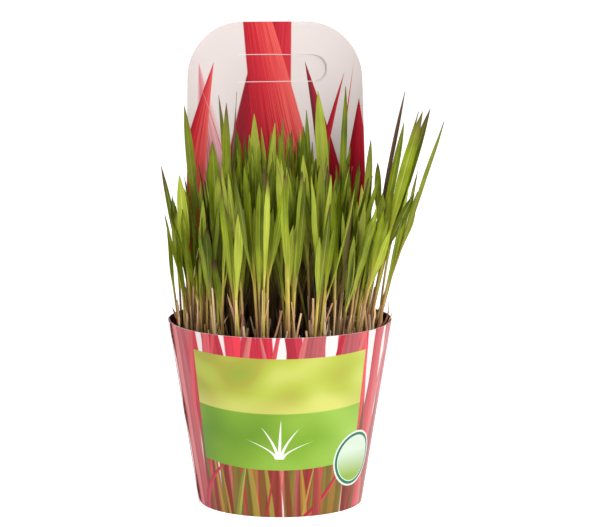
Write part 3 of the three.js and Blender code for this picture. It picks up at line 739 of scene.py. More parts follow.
@dataclass(frozen=True)
class MouldedPolypropylene(Finish):
    """Black recycled polypropylene, injection moulded: a soft sheen with flow marks and dust."""

    name: str = "moulded_polypropylene"
    flow_spacing: float = 14.0
    grit: float = 0.7

    def shade(self, node: Maker) -> dict:
        """Almost black, with paler dusty patches and a fine moulded grain."""
        place = node("TexCoord").outputs["Object"]
        flow = node("TexNoise", {"Vector": place, "Scale": 1 / (self.flow_spacing * MM), "Detail": 4.0})
        colour = node("ValToRGB", (flow,), stops=[(0.35, "#121314"), (0.6, "#1b1c1d"), (0.8, "#2a2825")])
        dull = node("MapRange", (flow, 0.3, 0.7, 0.42, 0.62))
        grain = node("TexNoise", {"Vector": place, "Scale": 1 / (self.grit * MM), "Detail": 2.0})
        bump = node("Bump", {"Height": grain, "Strength": 0.25, "Distance": 0.1 * MM})
        return {"Base Color": colour, "Roughness": dull, "Normal": bump}


@dataclass(frozen=True)
class MoistPeat(Finish):
    """Moist peat and composted bark: near black crumbs with a few pale fibres."""

    name: str = "moist_peat"
    crumb: float = 2.2
    fibre_spacing: float = 2.8

    def shade(self, node: Maker) -> dict:
        """Dark crumbs by a coarse noise, and pale specks of fibre among them."""
        place = node("TexCoord").outputs["Object"]
        crumbs = node("TexNoise", {"Vector": place, "Scale": 1 / (self.crumb * MM), "Detail": 6.0,
                                             "Roughness": 0.7})
        dark = node("ValToRGB", (crumbs,), stops=[(0.3, "#080403"), (0.55, "#1a0f08"), (0.75, "#38241a")])
        fibres = node("TexVoronoi", {"Vector": place, "Scale": 1 / (self.fibre_spacing * MM)})
        pale = node("MapRange", (fibres, 0.16, 0.06, 0.0, 0.5))
        colour = node("MixRGB", (pale, dark, "#6b4d33"))
        bump = node("Bump", {"Height": crumbs, "Strength": 0.9, "Distance": 1.2 * MM})
        return {"Base Color": colour, "Roughness": 0.92, "Normal": bump}


@dataclass(frozen=True)
class GrassLeaf(Finish):
    """A living grass leaf and its sheath: waxy, with parallel veins and a pale midrib.

    The growth attribute holds, for each point, its place across the leaf, its share of the leaf's
    length, the leaf's own tone, and how dry its tip is. The stand attribute holds the height above
    the soil in metres, how far the leaf has opened, the sheath's own tint, and how far it has reddened.
    """

    name: str = "living_grass_leaf"
    patch: float = 16.0
    leaf_width: float = 7.0
    vein_spacing: float = 0.55
    roughness: float = 0.45
    specular: float = 0.1
    painted_shade_radii: Pair = (52.0, 36.0)

    def shade(self, node: Maker) -> dict:
        """Mixes sheath, leaf, midrib, painted shade low among the inner stems, veins, reddening and dry
        tip.
        """
        growth = node("Attribute", attribute_name="growth")
        stand = node("Attribute", attribute_name="stand")
        across, share, tone = node("SeparateColor", (growth.outputs["Color"],)).outputs
        height, opened, tint = node("SeparateColor", (stand.outputs["Color"],)).outputs
        place = node("TexCoord").outputs["Object"]
        patch = node("TexNoise", {"Vector": place, "Scale": 1 / (self.patch * MM), "Detail": 2.0})
        leaf_tone = node("Math MULTIPLY_ADD", (patch, 0.5, tone))
        leaf = node("ValToRGB", (leaf_tone,), stops=[
            (0.15, "#353b00"), (0.45, "#5c6b05"), (0.75, "#849315"), (1.05, "#a3ae3a")])
        young = node("MapRange", (share, 0.3, 0.8, 0.35, 0.0))
        leaf = node("MixRGB", (young, leaf, "#9ba336"))
        sheath_old = node("ValToRGB", (tint,), stops=[
            (0.0, "#5c2f2c"), (0.2, "#ab7a55"), (0.4, "#e2bf86"), (0.58, "#8c5048"), (0.74, "#bfa850"),
            (1.0, "#c4b650")])
        level = node("Math MULTIPLY_ADD", (patch, 0.05, height))
        fresh = node("MapRange", (level, 0.035, 0.085, 0.0, 1.0))
        sheath_new = node("ValToRGB", (leaf_tone,), stops=[
            (0.25, "#75741a"), (0.6, "#a09a2c"), (0.95, "#cabd4e")])
        sheath = node("MixRGB", (fresh, sheath_old, sheath_new))
        colour = node("MixRGB", (opened, sheath, leaf))
        off = node("Math SUBTRACT", (across, 0.5))
        side = node("Math ABSOLUTE", (off,))
        rib = node("MapRange", (side, 0.07, 0.0, 0.0, 0.32))
        rib = node("Math MULTIPLY", (rib, opened))
        colour = node("MixRGB", (rib, colour, "#c7cc83"))
        # Painted shade: low among the inner stems the colour turns near-black wine red, partly the old
        # sheaths' own colour, mostly shade painted in.
        low = node("MapRange", (level, 0.05, 0.115, 1.0, 0.0))
        deep = painted_shade_share(node, place, *self.painted_shade_radii)
        old = node("Math MULTIPLY", (deep, low))
        wine_and_painted_shade = node("ValToRGB", (tint,), stops=[(0.2, "#1f0b06"), (0.5, "#43141f"), (0.8, "#2b1a0a")])
        colour = node("MixRGB", (old, colour, wine_and_painted_shade))
        scales = (self.leaf_width / self.vein_spacing, 2.0, 40.0)
        veins = fibre_noise(node, (across, share, tone), scales, 1.0, 2.0)
        light = node("MapRange", (veins, 0.3, 0.7, 0.7, 1.24))
        colour = node("HueSaturation", {"Color": colour, "Value": light})
        colour = node("MixRGB", (stand.outputs["Alpha"], colour, "#573a33"))
        tip = node("MapRange", (share, 0.82, 0.97, 0.0, 1.0))
        dry = node("Math MULTIPLY", (tip, growth.outputs["Alpha"]))
        colour = node("MixRGB", (dry, colour, "#5a3f2c"))
        bump = node("Bump", {"Height": veins, "Strength": 0.35, "Distance": 0.15 * MM})
        return {"Base Color": colour, "Roughness": self.roughness, "Specular IOR Level": self.specular,
                "Normal": bump}


@dataclass(frozen=True)
class DryStraw(Finish):
    """Dead sheaths and clipped stalks: matt straw, from bleached beige to purple brown."""

    name: str = "dry_grass_straw"
    stalk_width: float = 2.0
    fibre_spacing: float = 0.5
    painted_shade_radii: Pair = (50.0, 34.0)

    def shade(self, node: Maker) -> dict:
        """A tone for each stalk, darker fibres along it, and painted shade, near-black brown, deep among
        the other stems.
        """
        growth = node("Attribute", attribute_name="growth")
        across, share, tone = node("SeparateColor", (growth.outputs["Color"],)).outputs
        straw = node("ValToRGB", (tone,), stops=[
            (0.0, "#703c34"), (0.15, "#c48c62"), (0.4, "#f0c48c"), (0.75, "#f8d9b0"), (1.0, "#b97b5a")])
        scales = (self.stalk_width / self.fibre_spacing, None, 60.0)
        fibres = fibre_noise(node, (across, share, tone), scales, 1.0, 3.0)
        light = node("MapRange", (fibres, 0.3, 0.7, 0.65, 1.1))
        colour = node("HueSaturation", {"Color": straw, "Value": light})
        # Painted shade: the straw turns near-black brown deep among the other stems, where they would shade
        # it.
        deep = painted_shade_share(node, node("TexCoord").outputs["Object"], *self.painted_shade_radii)
        colour = node("MixRGB", (deep, colour, "#2b140d"))
        bump = node("Bump", {"Height": fibres, "Strength": 0.5, "Distance": 0.2 * MM})
        return {"Base Color": colour, "Roughness": 0.75, "Normal": bump}


@dataclass(frozen=True)
class MattePaper(Finish):
    """Seamless studio paper: matt and near white, with a little light of its own, as on a light table."""

    name: str = "studio_paper"
    glow: float = 0.8
    mottle: float = 6.0

    def shade(self, node: Maker) -> dict:
        """One pale tone with a barely visible mottle."""
        place = node("TexCoord").outputs["Object"]
        mottle = node("TexNoise", {"Vector": place, "Scale": self.mottle})
        colour = node("ValToRGB", (mottle,), stops=[(0.3, "#fafafa"), (0.7, "#fdfdfc")])
        return {"Base Color": colour, "Roughness": 0.9, "Specular IOR Level": 0.0,
                "Emission Color": WHITE, "Emission Strength": self.glow}


# ---- card sleeve
@dataclass
class CardSleeve:
    """A conical collar wrapped from one piece of card, with a tall rounded panel on its back."""

    height: float = 113.0
    top_radius: float = 68.5
    base_radius: float = 50.25
    thickness: float = 0.5
    seam_turn: float = math.radians(190)
    overlap: float = math.radians(12)
    tuck_turn: float = math.radians(44)
    tuck_depth: float = 1.15
    margin_turn: float = math.radians(1.5)
    step: float = math.radians(2)
    rows: int = 30
    panel_top: float = 286.5
    panel_half_turn: float = math.radians(57)
    panel_half_width: float = 54.5
    panel_sag: float = 10.0
    panel_flattening: float = 0.8
    corner: float = 33.5
    corner_steps: int = 14
    even_reach: float = 36.0
    even_steps: int = 96
    panel_rows: int = 150
    row_places: tuple[float, ...] = (0.0, 0.35, 0.85, 1.0)
    row_shares: tuple[float, ...] = (0.0, 0.765, 0.9, 1.0)
    grip_centre: Pair = (3.5, 257.5)
    grip_half_length: float = 29.5
    grip_half_height: float = 8.5
    grip_push: float = 1.4
    grip_hinge: float = 0.3
    grip_edge: float = 0.6
    cut_reaches: Pair = (27.5, 22.5)
    print_blend: float = 60.0
    print_stretch: float = 1.04
    edge_lift: float = 0.8
    gape_height: float = 57.0
    gape_spacing: float = 49.0

    def radius(self, z: float) -> float:
        """The collar's outer radius at a height."""
        return lerp(self.base_radius, self.top_radius, z / self.height)

    def panel_turns(self) -> list[float]:
        """The turns of the panel's columns from its middle, left to right, close across the grip."""
        flat = self.panel_half_width - self.corner
        first = math.asin((self.even_reach - flat) / self.corner)
        right = [flat + self.corner * math.sin(lerp(first, math.pi / 2, i / self.corner_steps))
                 for i in range(1, self.corner_steps + 1)]
        middle = [lerp(-self.even_reach, self.even_reach, i / self.even_steps)
                  for i in range(self.even_steps + 1)]
        scale = math.sin(self.panel_half_turn) / self.panel_half_width
        columns = [-x for x in reversed(right)] + middle + right
        return [math.asin(clamp(x * scale, -1, 1)) for x in columns]

    def column_top(self, turn: float) -> float:
        """The height of the panel's rounded outline above one of its columns."""
        x = abs(self.panel_half_width * math.sin(turn) / math.sin(self.panel_half_turn))
        into = clamp(x - (self.panel_half_width - self.corner), 0, self.corner)
        return self.panel_top - self.corner + math.sqrt(self.corner ** 2 - into ** 2)

    def panel_form(self, share: float | np.ndarray) -> tuple[float | np.ndarray, float | np.ndarray]:
        """The panel's half width and the depth of its curve at a share of its height."""
        half_width = lerp(self.top_radius * math.sin(self.panel_half_turn), self.panel_half_width, share)
        sag = lerp(self.top_radius * (1 - math.cos(self.panel_half_turn)), self.panel_sag,
                   share ** self.panel_flattening)
        return half_width, sag

    def panel_point(self, turn: float, z: float) -> Point:
        """A point of the panel's outer face, which flattens towards its top.

        Args:
            turn: The turn from the panel's middle, positive at +X.
            z: The height.

        Returns:
            The point in millimetres.
        """
        half_turn = self.panel_half_turn
        half_width, sag = self.panel_form(clamp((z - self.height) / (self.panel_top - self.height)))
        x = half_width * math.sin(turn) / math.sin(half_turn)
        y = self.radius(z) - sag * (1 - math.cos(turn)) / (1 - math.cos(half_turn))
        return x, y + self.grip_press(x, z), z

    def grip_press(self, x: float, z: float) -> float:
        """How far the cut grip stands back from the panel: nothing at its left end, most at its right."""
        along = x - self.grip_centre[0]
        reach = self.grip_half_length - self.grip_half_height
        past = max(abs(along) - reach, 0.0)
        depth = self.grip_half_height - math.hypot(past, z - self.grip_centre[1])
        swing = clamp((along / reach + self.grip_hinge) / (1 + self.grip_hinge))
        pushed = smoothstep(np.array(depth / self.grip_edge + 0.5))
        return self.grip_push * float(pushed) * swing ** 1.5

    def collar_radius(self, angle: float, z: float) -> float:
        """The collar's outer radius: tucked in where it starts, lifted in waves at its free edge."""
        tuck = clamp(1 - (angle - self.seam_turn) / self.tuck_turn)
        inset = self.thickness * self.tuck_depth * float(smoothstep(np.array(tuck)))
        near = clamp(1 - (self.seam_turn + FULL_TURN - angle) / self.overlap)
        wave = 0.5 + 0.5 * math.cos((z - self.gape_height) / self.gape_spacing * FULL_TURN)
        return self.radius(z) - inset + self.edge_lift * (near * wave) ** 2

    def print_place(self, angle: float) -> float:
        """Where an angle of the collar lies in the print, in millimetres along the girth."""
        return OuterPrint.girth_radius * (angle - 1.5 * math.pi)

    def collar_spot(self, angle: float, row: float) -> tuple[Point, Pair]:
        """A point of the collar and its place in the print, from its angle and share of the height."""
        z = row * self.height
        radius = self.collar_radius(angle, z)
        return (radius * math.cos(angle), radius * math.sin(angle), z), (self.print_place(angle), z)

    def panel_spot(self, turn: float, row: float) -> tuple[Point, Pair]:
        """A point of the panel and its place in the print, from its turn and share of the rows."""
        share = float(np.interp(row, self.row_places, self.row_shares))
        z = lerp(self.height, self.column_top(turn), share)
        point = self.panel_point(turn, z)
        above = clamp((z - self.height) / self.print_blend)
        return point, (lerp(turn * self.top_radius, self.print_stretch * point[0], above), z)

    def collar_sheet(self) -> Piece:
        """The collar as one open sheet of card, from the end of its glue flap round to its free edge."""
        first, last = self.seam_turn - self.overlap, self.seam_turn + FULL_TURN
        start = math.pi / 2 + FULL_TURN - self.panel_half_turn
        before = max(1, round((start - first) / self.step))
        after_start = start + 2 * self.panel_half_turn
        after = max(1, round((last - after_start) / self.step))
        angles = [lerp(first, start, i / before) for i in range(before)]
        angles += [math.pi / 2 + FULL_TURN - turn for turn in reversed(self.panel_turns())]
        angles += [lerp(after_start, last, i / after) for i in range(1, after + 1)]
        return self.wrapped_sheet("collar_sheet", angles, self.rows + 1, self.collar_spot)

    def panel_sheet(self) -> Piece:
        """The back panel as one open sheet, which starts on the collar's upper edge."""
        turns = list(reversed(self.panel_turns()))
        return self.wrapped_sheet("panel_sheet", turns, self.panel_rows + 1, self.panel_spot)

    def wrapped_sheet(self, name: str, columns: list[float], rows: int,
                      spot: Callable[[float, float], tuple[Point, Pair]]) -> Piece:
        """Makes a flat card blank and wraps it.

        Args:
            name: The sheet's name.
            columns: The angle or turn of each column of points along the girth.
            rows: How many points the blank has in height.
            spot: Gives a point and its place in the print from its column's angle and its row's share.

        Returns:
            The sheet, with its places in the print in a UV map.
        """
        last = len(columns) - 1
        sheet = new_piece(name, bpy.ops.mesh.primitive_grid_add, x_subdivisions=last,
                          y_subdivisions=rows - 1, size=1.0)
        placed = [spot(columns[round(x * last)], y) for x, y, _ in vertex_array(sheet.data) + 0.5]
        write_vertices(sheet.data, np.array([point for point, _ in placed]))
        layer = sheet.data.uv_layers[0]
        layer.name = "card_mm"
        corners = np.empty(len(sheet.data.loops), dtype=np.int32)
        sheet.data.loops.foreach_get("vertex_index", corners)
        prints = np.array([mark for _, mark in placed])
        layer.uv.foreach_set("vector", prints[corners].astype(np.float32).ravel())
        return sheet

    def build(self) -> Piece:
        """Joins the two sheets, gives the card its thickness, and dresses its two sides and its edge.

        Returns:
            The finished sleeve.
        """
        sleeve = join_pieces([self.collar_sheet(), self.panel_sheet()], "printed_card_sleeve")
        make_active(sleeve)
        bpy.ops.object.mode_set(mode="EDIT")
        bpy.ops.mesh.select_all(action="SELECT")
        bpy.ops.mesh.remove_doubles(threshold=0.005 * MM)
        bpy.ops.object.mode_set(mode="OBJECT")
        outside = OuterPrint(rim_radius=self.top_radius, collar_height=self.height,
                             print_start=self.print_place(self.seam_turn),
                             print_end=self.print_place(self.seam_turn + FULL_TURN - self.margin_turn))
        (middle, height), half = self.grip_centre, self.grip_half_height
        inside = InnerPrint(collar_height=self.height, grip_heights=(height - half, height + half),
                            grip_ends=(middle - self.cut_reaches[0], middle + self.cut_reaches[1]))
        for finish in (outside, inside, CutCardEdge()):
            sleeve.data.materials.append(finish.material())
        apply_modifier(sleeve, "SOLIDIFY", thickness=self.thickness * MM, offset=-1.0, use_even_offset=True,
                       material_offset=1, material_offset_rim=2)
        make_active(sleeve)
        bpy.ops.object.shade_smooth_by_angle(angle=math.radians(40))
        return settle(sleeve, "card", "card_sleeve")


# ---- pot and soil
@dataclass
class GrowerPot:
    """A moulded black nursery pot: tapered wall, stepped lip, and a ring of drainage holes."""

    sides: int = 96
    height: float = 104.5
    base_radius: float = 46.5
    wall: float = 0.9
    floor: float = 2.4
    lip_height: float = 8.0
    lip_width: float = 2.9
    lip_radius: float = 64.46
    channel_inner: float = 15.0
    channel_outer: float = 41.0
    channel_rise: float = 1.4
    drains: int = 6
    drain_radius: float = 3.5
    drain_circle: float = 28.0
    channel_slope: float = 1.4
    edge_radius: float = 0.35

    @property
    def rim_radius(self) -> float:
        """The outer radius of the wall at the pot's rim, inside the lip."""
        return self.lip_radius - self.lip_width

    def wall_radius(self, z: float) -> float:
        """The wall's inner radius at a height."""
        return lerp(self.base_radius, self.rim_radius, z / self.height) - self.wall

    def select_cap(self, pot: Piece, highest: bool) -> None:
        """Selects the flat cap at the pot's top or bottom by its place."""
        bpy.ops.object.mode_set(mode="OBJECT")
        caps = [face for face in pot.data.polygons if len(face.vertices) == self.sides]
        select_face(pot, max(caps, key=lambda face: face.center.z if highest else -face.center.z))

    def pull_cap(self, pot: Piece, highest: bool, z: float, levels: tuple[Pair, ...]) -> None:
        """Extrudes one cap from level to level and scales it to each level's radius.

        Args:
            pot: The pot.
            highest: Whether it is the top cap, or the bottom one.
            z: The cap's present height.
            levels: The height and radius of each level, in order.
        """
        self.select_cap(pot, highest)
        radius = self.base_radius
        for next_z, next_radius in levels:
            bpy.ops.mesh.extrude_region_move(TRANSFORM_OT_translate={"value": (0, 0, (next_z - z) * MM)})
            scale = next_radius / radius
            bpy.ops.transform.resize(value=(scale, scale, 1), center_override=(0, 0, next_z * MM))
            z, radius = next_z, next_radius

    def build(self) -> Piece:
        """Models the pot from one cylinder by extruding its two caps, then cuts the drains.

        Returns:
            The finished pot.
        """
        lip_bottom = self.height - self.lip_height
        pot = new_piece("moulded_grower_pot", bpy.ops.mesh.primitive_cylinder_add, vertices=self.sides,
                        radius=self.base_radius * MM, depth=self.channel_rise * MM,
                        location=(0, 0, self.channel_rise / 2 * MM))
        self.pull_cap(pot, True, self.channel_rise, (
            (lip_bottom, self.wall_radius(lip_bottom) + self.wall), (lip_bottom, self.lip_radius),
            (self.height, self.lip_radius), (self.height, self.wall_radius(self.height)),
            (self.floor, self.wall_radius(self.floor))))
        self.pull_cap(pot, False, 0.0, (
            (0.0, self.channel_outer), (self.channel_rise, self.channel_outer - self.channel_slope),
            (self.channel_rise, self.channel_inner + self.channel_slope), (0.0, self.channel_inner)))
        bpy.ops.object.mode_set(mode="OBJECT")
        apply_modifier(pot, "BEVEL", width=self.edge_radius * MM, segments=2, limit_method="ANGLE",
                       angle_limit=math.radians(35))
        for index in range(self.drains):
            self.cut_drain(pot, index / self.drains * FULL_TURN)
        make_active(pot)
        bpy.ops.object.shade_smooth_by_angle(angle=math.radians(40))
        pot.data.materials.append(MouldedPolypropylene().material())
        return settle(pot, "pot_plastic", "grower_pot")

    def cut_drain(self, pot: Piece, angle: float) -> None:
        """Cuts one drainage hole through the pot's floor."""
        place = (self.drain_circle * math.cos(angle) * MM, self.drain_circle * math.sin(angle) * MM, 0)
        drill = new_piece("drain_drill", bpy.ops.mesh.primitive_cylinder_add, vertices=32,
                          radius=self.drain_radius * MM, depth=4 * self.floor * MM, location=place)
        apply_modifier(pot, "BOOLEAN", operation="DIFFERENCE", solver="EXACT", object=drill)
        bpy.data.objects.remove(drill, do_unlink=True)


@dataclass
class PottingSoil:
    """Moist peat up to just below the pot's rim: an uneven surface strewn with crumbs and chips."""

    surface: float = 101.5
    floor: float = 2.7
    fit: float = 0.3
    pot: GrowerPot = field(default_factory=GrowerPot)
    sides: int = 72
    rings: int = 22
    bump: float = 2.2
    bump_size: float = 7.0
    fine_bump: float = 0.6
    sink: float = 0.4
    crumbs: int = 420
    crumb_size: Pair = (0.6, 2.0)
    crumb_stretch: Pair = (1.0, 1.6)
    chips: int = 90
    chip_size: Pair = (0.5, 1.1)
    chip_stretch: Pair = (3.0, 7.0)
    flatness: Pair = (0.5, 0.9)
    tilt: float = 0.3
    edge_room: float = 2.0
    seed: int = 83

    def build(self) -> Piece:
        """Insets a cylinder's top to rings, roughens it, and strews crumbs and chips on it.

        Returns:
            The finished soil.
        """
        depth = self.surface - self.floor
        top_radius = self.pot.wall_radius(self.surface) - self.fit
        base_radius = self.pot.wall_radius(self.floor) - self.fit
        soil = new_piece("potting_soil", bpy.ops.mesh.primitive_cone_add, vertices=self.sides,
                         radius1=base_radius * MM, radius2=top_radius * MM, depth=depth * MM,
                         location=(0, 0, (self.floor + depth / 2) * MM))
        select_face(soil, max(soil.data.polygons, key=lambda face: face.center.z))
        for _ in range(self.rings):
            bpy.ops.mesh.inset(thickness=top_radius / (self.rings + 1) * MM)
        bpy.ops.mesh.merge(type="CENTER")
        bpy.ops.object.mode_set(mode="OBJECT")
        points = vertex_array(soil.data) / MM
        for point in points:
            if point[2] > self.surface - 0.1 and math.hypot(point[0], point[1]) < top_radius - 0.5:
                place = Vector(point) / self.bump_size
                rough = noise.noise(place), self.fine_bump * self.bump * noise.noise(3 * place)
                point[2] += self.bump * rough[0] + rough[1] - self.sink
        write_vertices(soil.data, points)
        bpy.ops.object.shade_smooth()
        soil = join_pieces([soil, *self.strewn(top_radius - self.edge_room)], "potting_soil")
        soil.data.materials.append(MoistPeat().material())
        return settle(soil, "soil", "soil")

    def strewn(self, reach: float) -> list[Piece]:
        """Crumbs of peat and chips of bark, modelled once and copied over the surface.

        Args:
            reach: The radius inside which they lie.

        Returns:
            The copies.
        """
        crumb = new_piece("peat_crumb", bpy.ops.mesh.primitive_ico_sphere_add, subdivisions=1, radius=1.0)
        chip = new_piece("bark_chip", bpy.ops.mesh.primitive_cube_add, size=1.0)
        apply_modifier(chip, "BEVEL", width=0.12, segments=1)
        draw = RandomStream(self.seed)
        copies = []
        kinds = ((crumb, self.crumb_size, self.crumb_stretch),) * self.crumbs
        kinds += ((chip, self.chip_size, self.chip_stretch),) * self.chips
        for index, (model, sizes, stretches) in enumerate(kinds):
            copy = copy_piece(model, f"strewn_{index}")
            size, stretch = draw(*sizes), draw(*stretches)
            radius, angle = reach * math.sqrt(draw()), draw(0, FULL_TURN)
            turn = draw(0, FULL_TURN)
            shape = vertex_array(copy.data) * (size * stretch, size, size * draw(*self.flatness))
            tilt = draw(-self.tilt, self.tilt)
            x = shape[:, 0] * math.cos(turn) - shape[:, 1] * math.sin(turn)
            y = shape[:, 0] * math.sin(turn) + shape[:, 1] * math.cos(turn)
            z = shape[:, 2] + tilt * shape[:, 0]
            height = self.surface + 0.5 * size * draw(-0.2, 0.8)
            centre = (radius * math.cos(angle), radius * math.sin(angle), height)
            write_vertices(copy.data, np.stack([x, y, z], axis=1) + centre)
            copies.append(copy)
        for model in (crumb, chip):
            bpy.data.objects.remove(model, do_unlink=True)
        return copies


# ---- grass
class Growth(Enum):
    """The kinds of blade in a tuft."""

    CULM = "culm"
    SIDE = "side"
    STUB = "stub"


@dataclass
class Blade:
    """One blade, from its base to its tip."""

    kind: Growth
    tuft: int
    base: Point
    tip: Point
    width: float
    stem: float = 1.0
    opening: float = 0.1
    straight: float = 1.0
    sway: float = 0.0
    face: float = 0.0
    twist: float = 0.0
    cut: bool = False
    reddened: float = 0.0
    parent: "Blade | None" = None
    levels: tuple[int, np.ndarray] | None = None

    def point(self, share: np.ndarray | float) -> np.ndarray:
        """The blade's middle line at shares of its length."""
        share = np.asarray(share, dtype=float)
        bend = self.straight * share + (1 - self.straight) * share * share
        sway = self.sway * np.sin(math.pi * share)
        return np.stack([
            self.base[0] + (self.tip[0] - self.base[0]) * bend + sway * math.cos(self.face),
            self.base[1] + (self.tip[1] - self.base[1]) * bend + sway * math.sin(self.face),
            self.base[2] + (self.tip[2] - self.base[2]) * share,
        ], axis=-1)

    def half_width(self, share: np.ndarray, rule: "GrassRule") -> np.ndarray:
        """Half the blade's width at shares of its length."""
        if self.kind is Growth.STUB:
            return np.full_like(share, self.width / 2)
        broadest = lerp(self.opening, 1, rule.broadest_share)
        rise = smoothstep((share - self.opening) / (broadest - self.opening))
        fall = np.clip((share - broadest) / (1 - broadest), 0, 1)
        taper = 1 - rule.clipped_taper * fall if self.cut else 1 - fall ** rule.tip_fullness
        widened = self.stem + (self.width / 2 - self.stem) * rise
        return np.where(share <= broadest, widened, self.width / 2 * taper)

    def thickness(self, share: np.ndarray, rule: "GrassRule") -> np.ndarray:
        """The blade's depth from its face to its keel at shares of its length."""
        if self.kind is Growth.STUB:
            return np.full_like(share, self.width)
        low = self.stem * rule.stem_depth
        return low + (rule.blade_depth - low) * np.minimum(share / self.opening, 1)

    def frames(self, share: np.ndarray, step: float) -> tuple[np.ndarray, np.ndarray]:
        """The directions along and across the blade at shares of its length."""
        along = self.point(np.minimum(share + step, 1)) - self.point(np.maximum(share - step, 0))
        along /= np.linalg.norm(along, axis=1, keepdims=True)
        angle = self.face + self.twist * share
        across = np.stack([np.cos(angle), np.sin(angle), np.zeros_like(angle)], axis=1)
        across -= (across * along).sum(axis=1, keepdims=True) * along
        across /= np.linalg.norm(across, axis=1, keepdims=True)
        return along, across


@dataclass(frozen=True)
class GrassRule:
    """The rule by which the solids' blades grow, so that the leaves here follow them one by one."""

    soil_top: float = 101.5
    circles: tuple[tuple[int, float], ...] = ((1, 0), (7, 17.5), (13, 35), (21, 52))
    crown_stray: float = 0.7
    culms: int = 5
    stubs: int = 1
    root_depth: float = 4.0
    root_ring: float = 2.7
    full_height: float = 128.0
    front_drop: float = 14.0
    side_drop: float = 44.0
    lean_away: float = 11.0
    lean_right: float = 12.0
    broadest_share: float = 0.5
    tip_fullness: float = 2.7
    clipped_taper: float = 0.35
    stem_depth: float = 1.7
    blade_depth: float = 1.05
    keel_share: float = 0.65
    blade_gap: float = 0.3
    wall_gap: float = 1.0
    rim_gap: float = 2.5
    level_step: float = 4.0
    tuft_free: float = 3.0
    fork_free: float = 18.0
    steepest: float = 0.3
    tries: int = 60
    tangent_step: float = 0.02
    crowns_seed: int = 17
    leading_seed: int = 1000
    culms_seed: int = 2000
    sides_seed: int = 3000
    stubs_seed: int = 4000
    reddened: dict[int, float] = field(default_factory=lambda: {
        3: 0.25, 16: 0.95, 21: 0.3, 30: 0.3, 31: 0.8})
    stations: dict[Growth, tuple[float, ...]] = field(default_factory=lambda: {
        Growth.CULM: (0, 0.46, 0.67, 0.87, 1), Growth.SIDE: (0, 0.25, 0.52, 0.82, 1),
        Growth.STUB: (0, 0.3, 1)})


@dataclass(frozen=True)
class LeadRule:
    """The ranges from which the blades of the outline are drawn: as they are, and at their loosest."""

    stray: Pair = (1.5, 3.5)
    depth_stray: Pair = (2.4, 10.4)
    stem: float = 1.05
    stem_share: float = 0.4
    opening: float = 0.44
    sway: Pair = (-1.5, 1.5)
    turn: Pair = (-0.55, 0.55)
    twist: Pair = (-0.4, 0.4)


@dataclass(frozen=True)
class CulmRule:
    """The ranges from which the other culms are drawn."""

    share: Pair = (0.6, 1)
    stray: float = 9.5
    width: Pair = (3.9, 6.7)
    stem: Pair = (0.85, 1.15)
    opening: Pair = (0.42, 0.54)
    straight: Pair = (0.45, 0.95)
    sway: Pair = (-2, 2)
    turn: Pair = (-0.9, 0.9)
    twist: Pair = (-0.7, 0.7)
    shorten: float = 0.3
    narrow: float = 0.25


@dataclass(frozen=True)
class SideRule:
    """The ranges from which the side blades are drawn."""

    lowest_fork: float = 0.36
    least_room: float = 40
    rise: Pair = (50, 95)
    out: Pair = (6, 17)
    aside: Pair = (-0.6, 0.6)
    width: Pair = (3.3, 5.6)
    stem: float = 0.8
    opening: float = 0.12
    straight: Pair = (1, 1.35)
    turn: Pair = (-0.35, 0.35)
    twist: Pair = (-0.4, 0.4)
    shorten: float = 0.35
    narrow: float = 0.2


@dataclass(frozen=True)
class StubRule:
    """The ranges from which the dry stubs are drawn."""

    height: Pair = (7, 20)
    lean: Pair = (0.05, 0.22)
    width: Pair = (1.7, 2.6)


@dataclass(frozen=True)
class Outline:
    """A blade that is listed: its root and tip, its width, how straight it is, and its sway."""

    root: Pair
    tip: Point
    width: float
    straight: float = 0.75
    sway: float = 0.0
    clipped: bool = False


def outlines(*rows: tuple) -> tuple[Outline, ...]:
    """The blades of a table, one for each of its rows."""
    return tuple(Outline(*row) for row in rows)


# The blades that give the plant its outline
LEADING_BLADES = outlines(
    ((-60, 8), (-73, 8, 206), 4, 0.8), ((-58, -7), (-65, -7, 176), 4), ((-54, -8), (-61, -6, 203), 6.6),
    ((-52, 26), (-57, 38, 239), 5.7), ((-46, 26), (-50, 34, 232), 5.7),
    ((-35, -6), (-41, -4, 223), 7.9), ((-31, 24), (-36, 31, 246), 4), ((-28, 14), (-33, 19, 245), 6.6),
    ((-17, 34), (-15, 43, 234), 6.6), ((-6, 32), (-2, 40, 229), 4.8), ((3, 40), (4, 48, 229), 4),
    ((10, 2), (13, 0, 230), 5.7), ((19, 24), (18, 29, 238), 4), ((29, 24), (26, 31, 249), 7.5),
    ((36, 16), (42, 20, 252), 4.4), ((49, 22), (58, 27, 220), 4.8), ((50, 16), (77, 18, 250), 2.6, 0.9),
    ((53, 12), (77, 10, 234), 4.8), ((53, -8), (83, -8, 241), 3), ((52, -14), (87, -17, 241), 7),
    ((57, 3), (93, 3, 241), 5.7, 0.85), ((57, -3), (98, -6, 235), 3.4, 0.95),
    ((54, -12), (93, -12, 192), 4.4, 0.6), ((-14, -24), (-16, -27, 212), 5.7),
    ((11, -28), (13, -33, 217), 6.2), ((31, -30), (22, -35, 215), 6.6),
    ((29, -38), (32, -42, 196), 4.8), ((-28, -38), (-23, -43, 188), 4.8), ((7, -42), (8, -46, 197), 4),
    ((13, -26), (-2, -30, 197), 4.4), ((50, -18), (48, -22, 197), 7.5),
    ((31, -40), (40, -44, 192), 3, 0.75, 0.0, True),
    ((-36, -34), (-42, -39, 156), 4.8, 0.75, 0.0, True),
    ((-8, -40), (-13, -44, 173), 3.8, 0.75, 0.0, True),
)

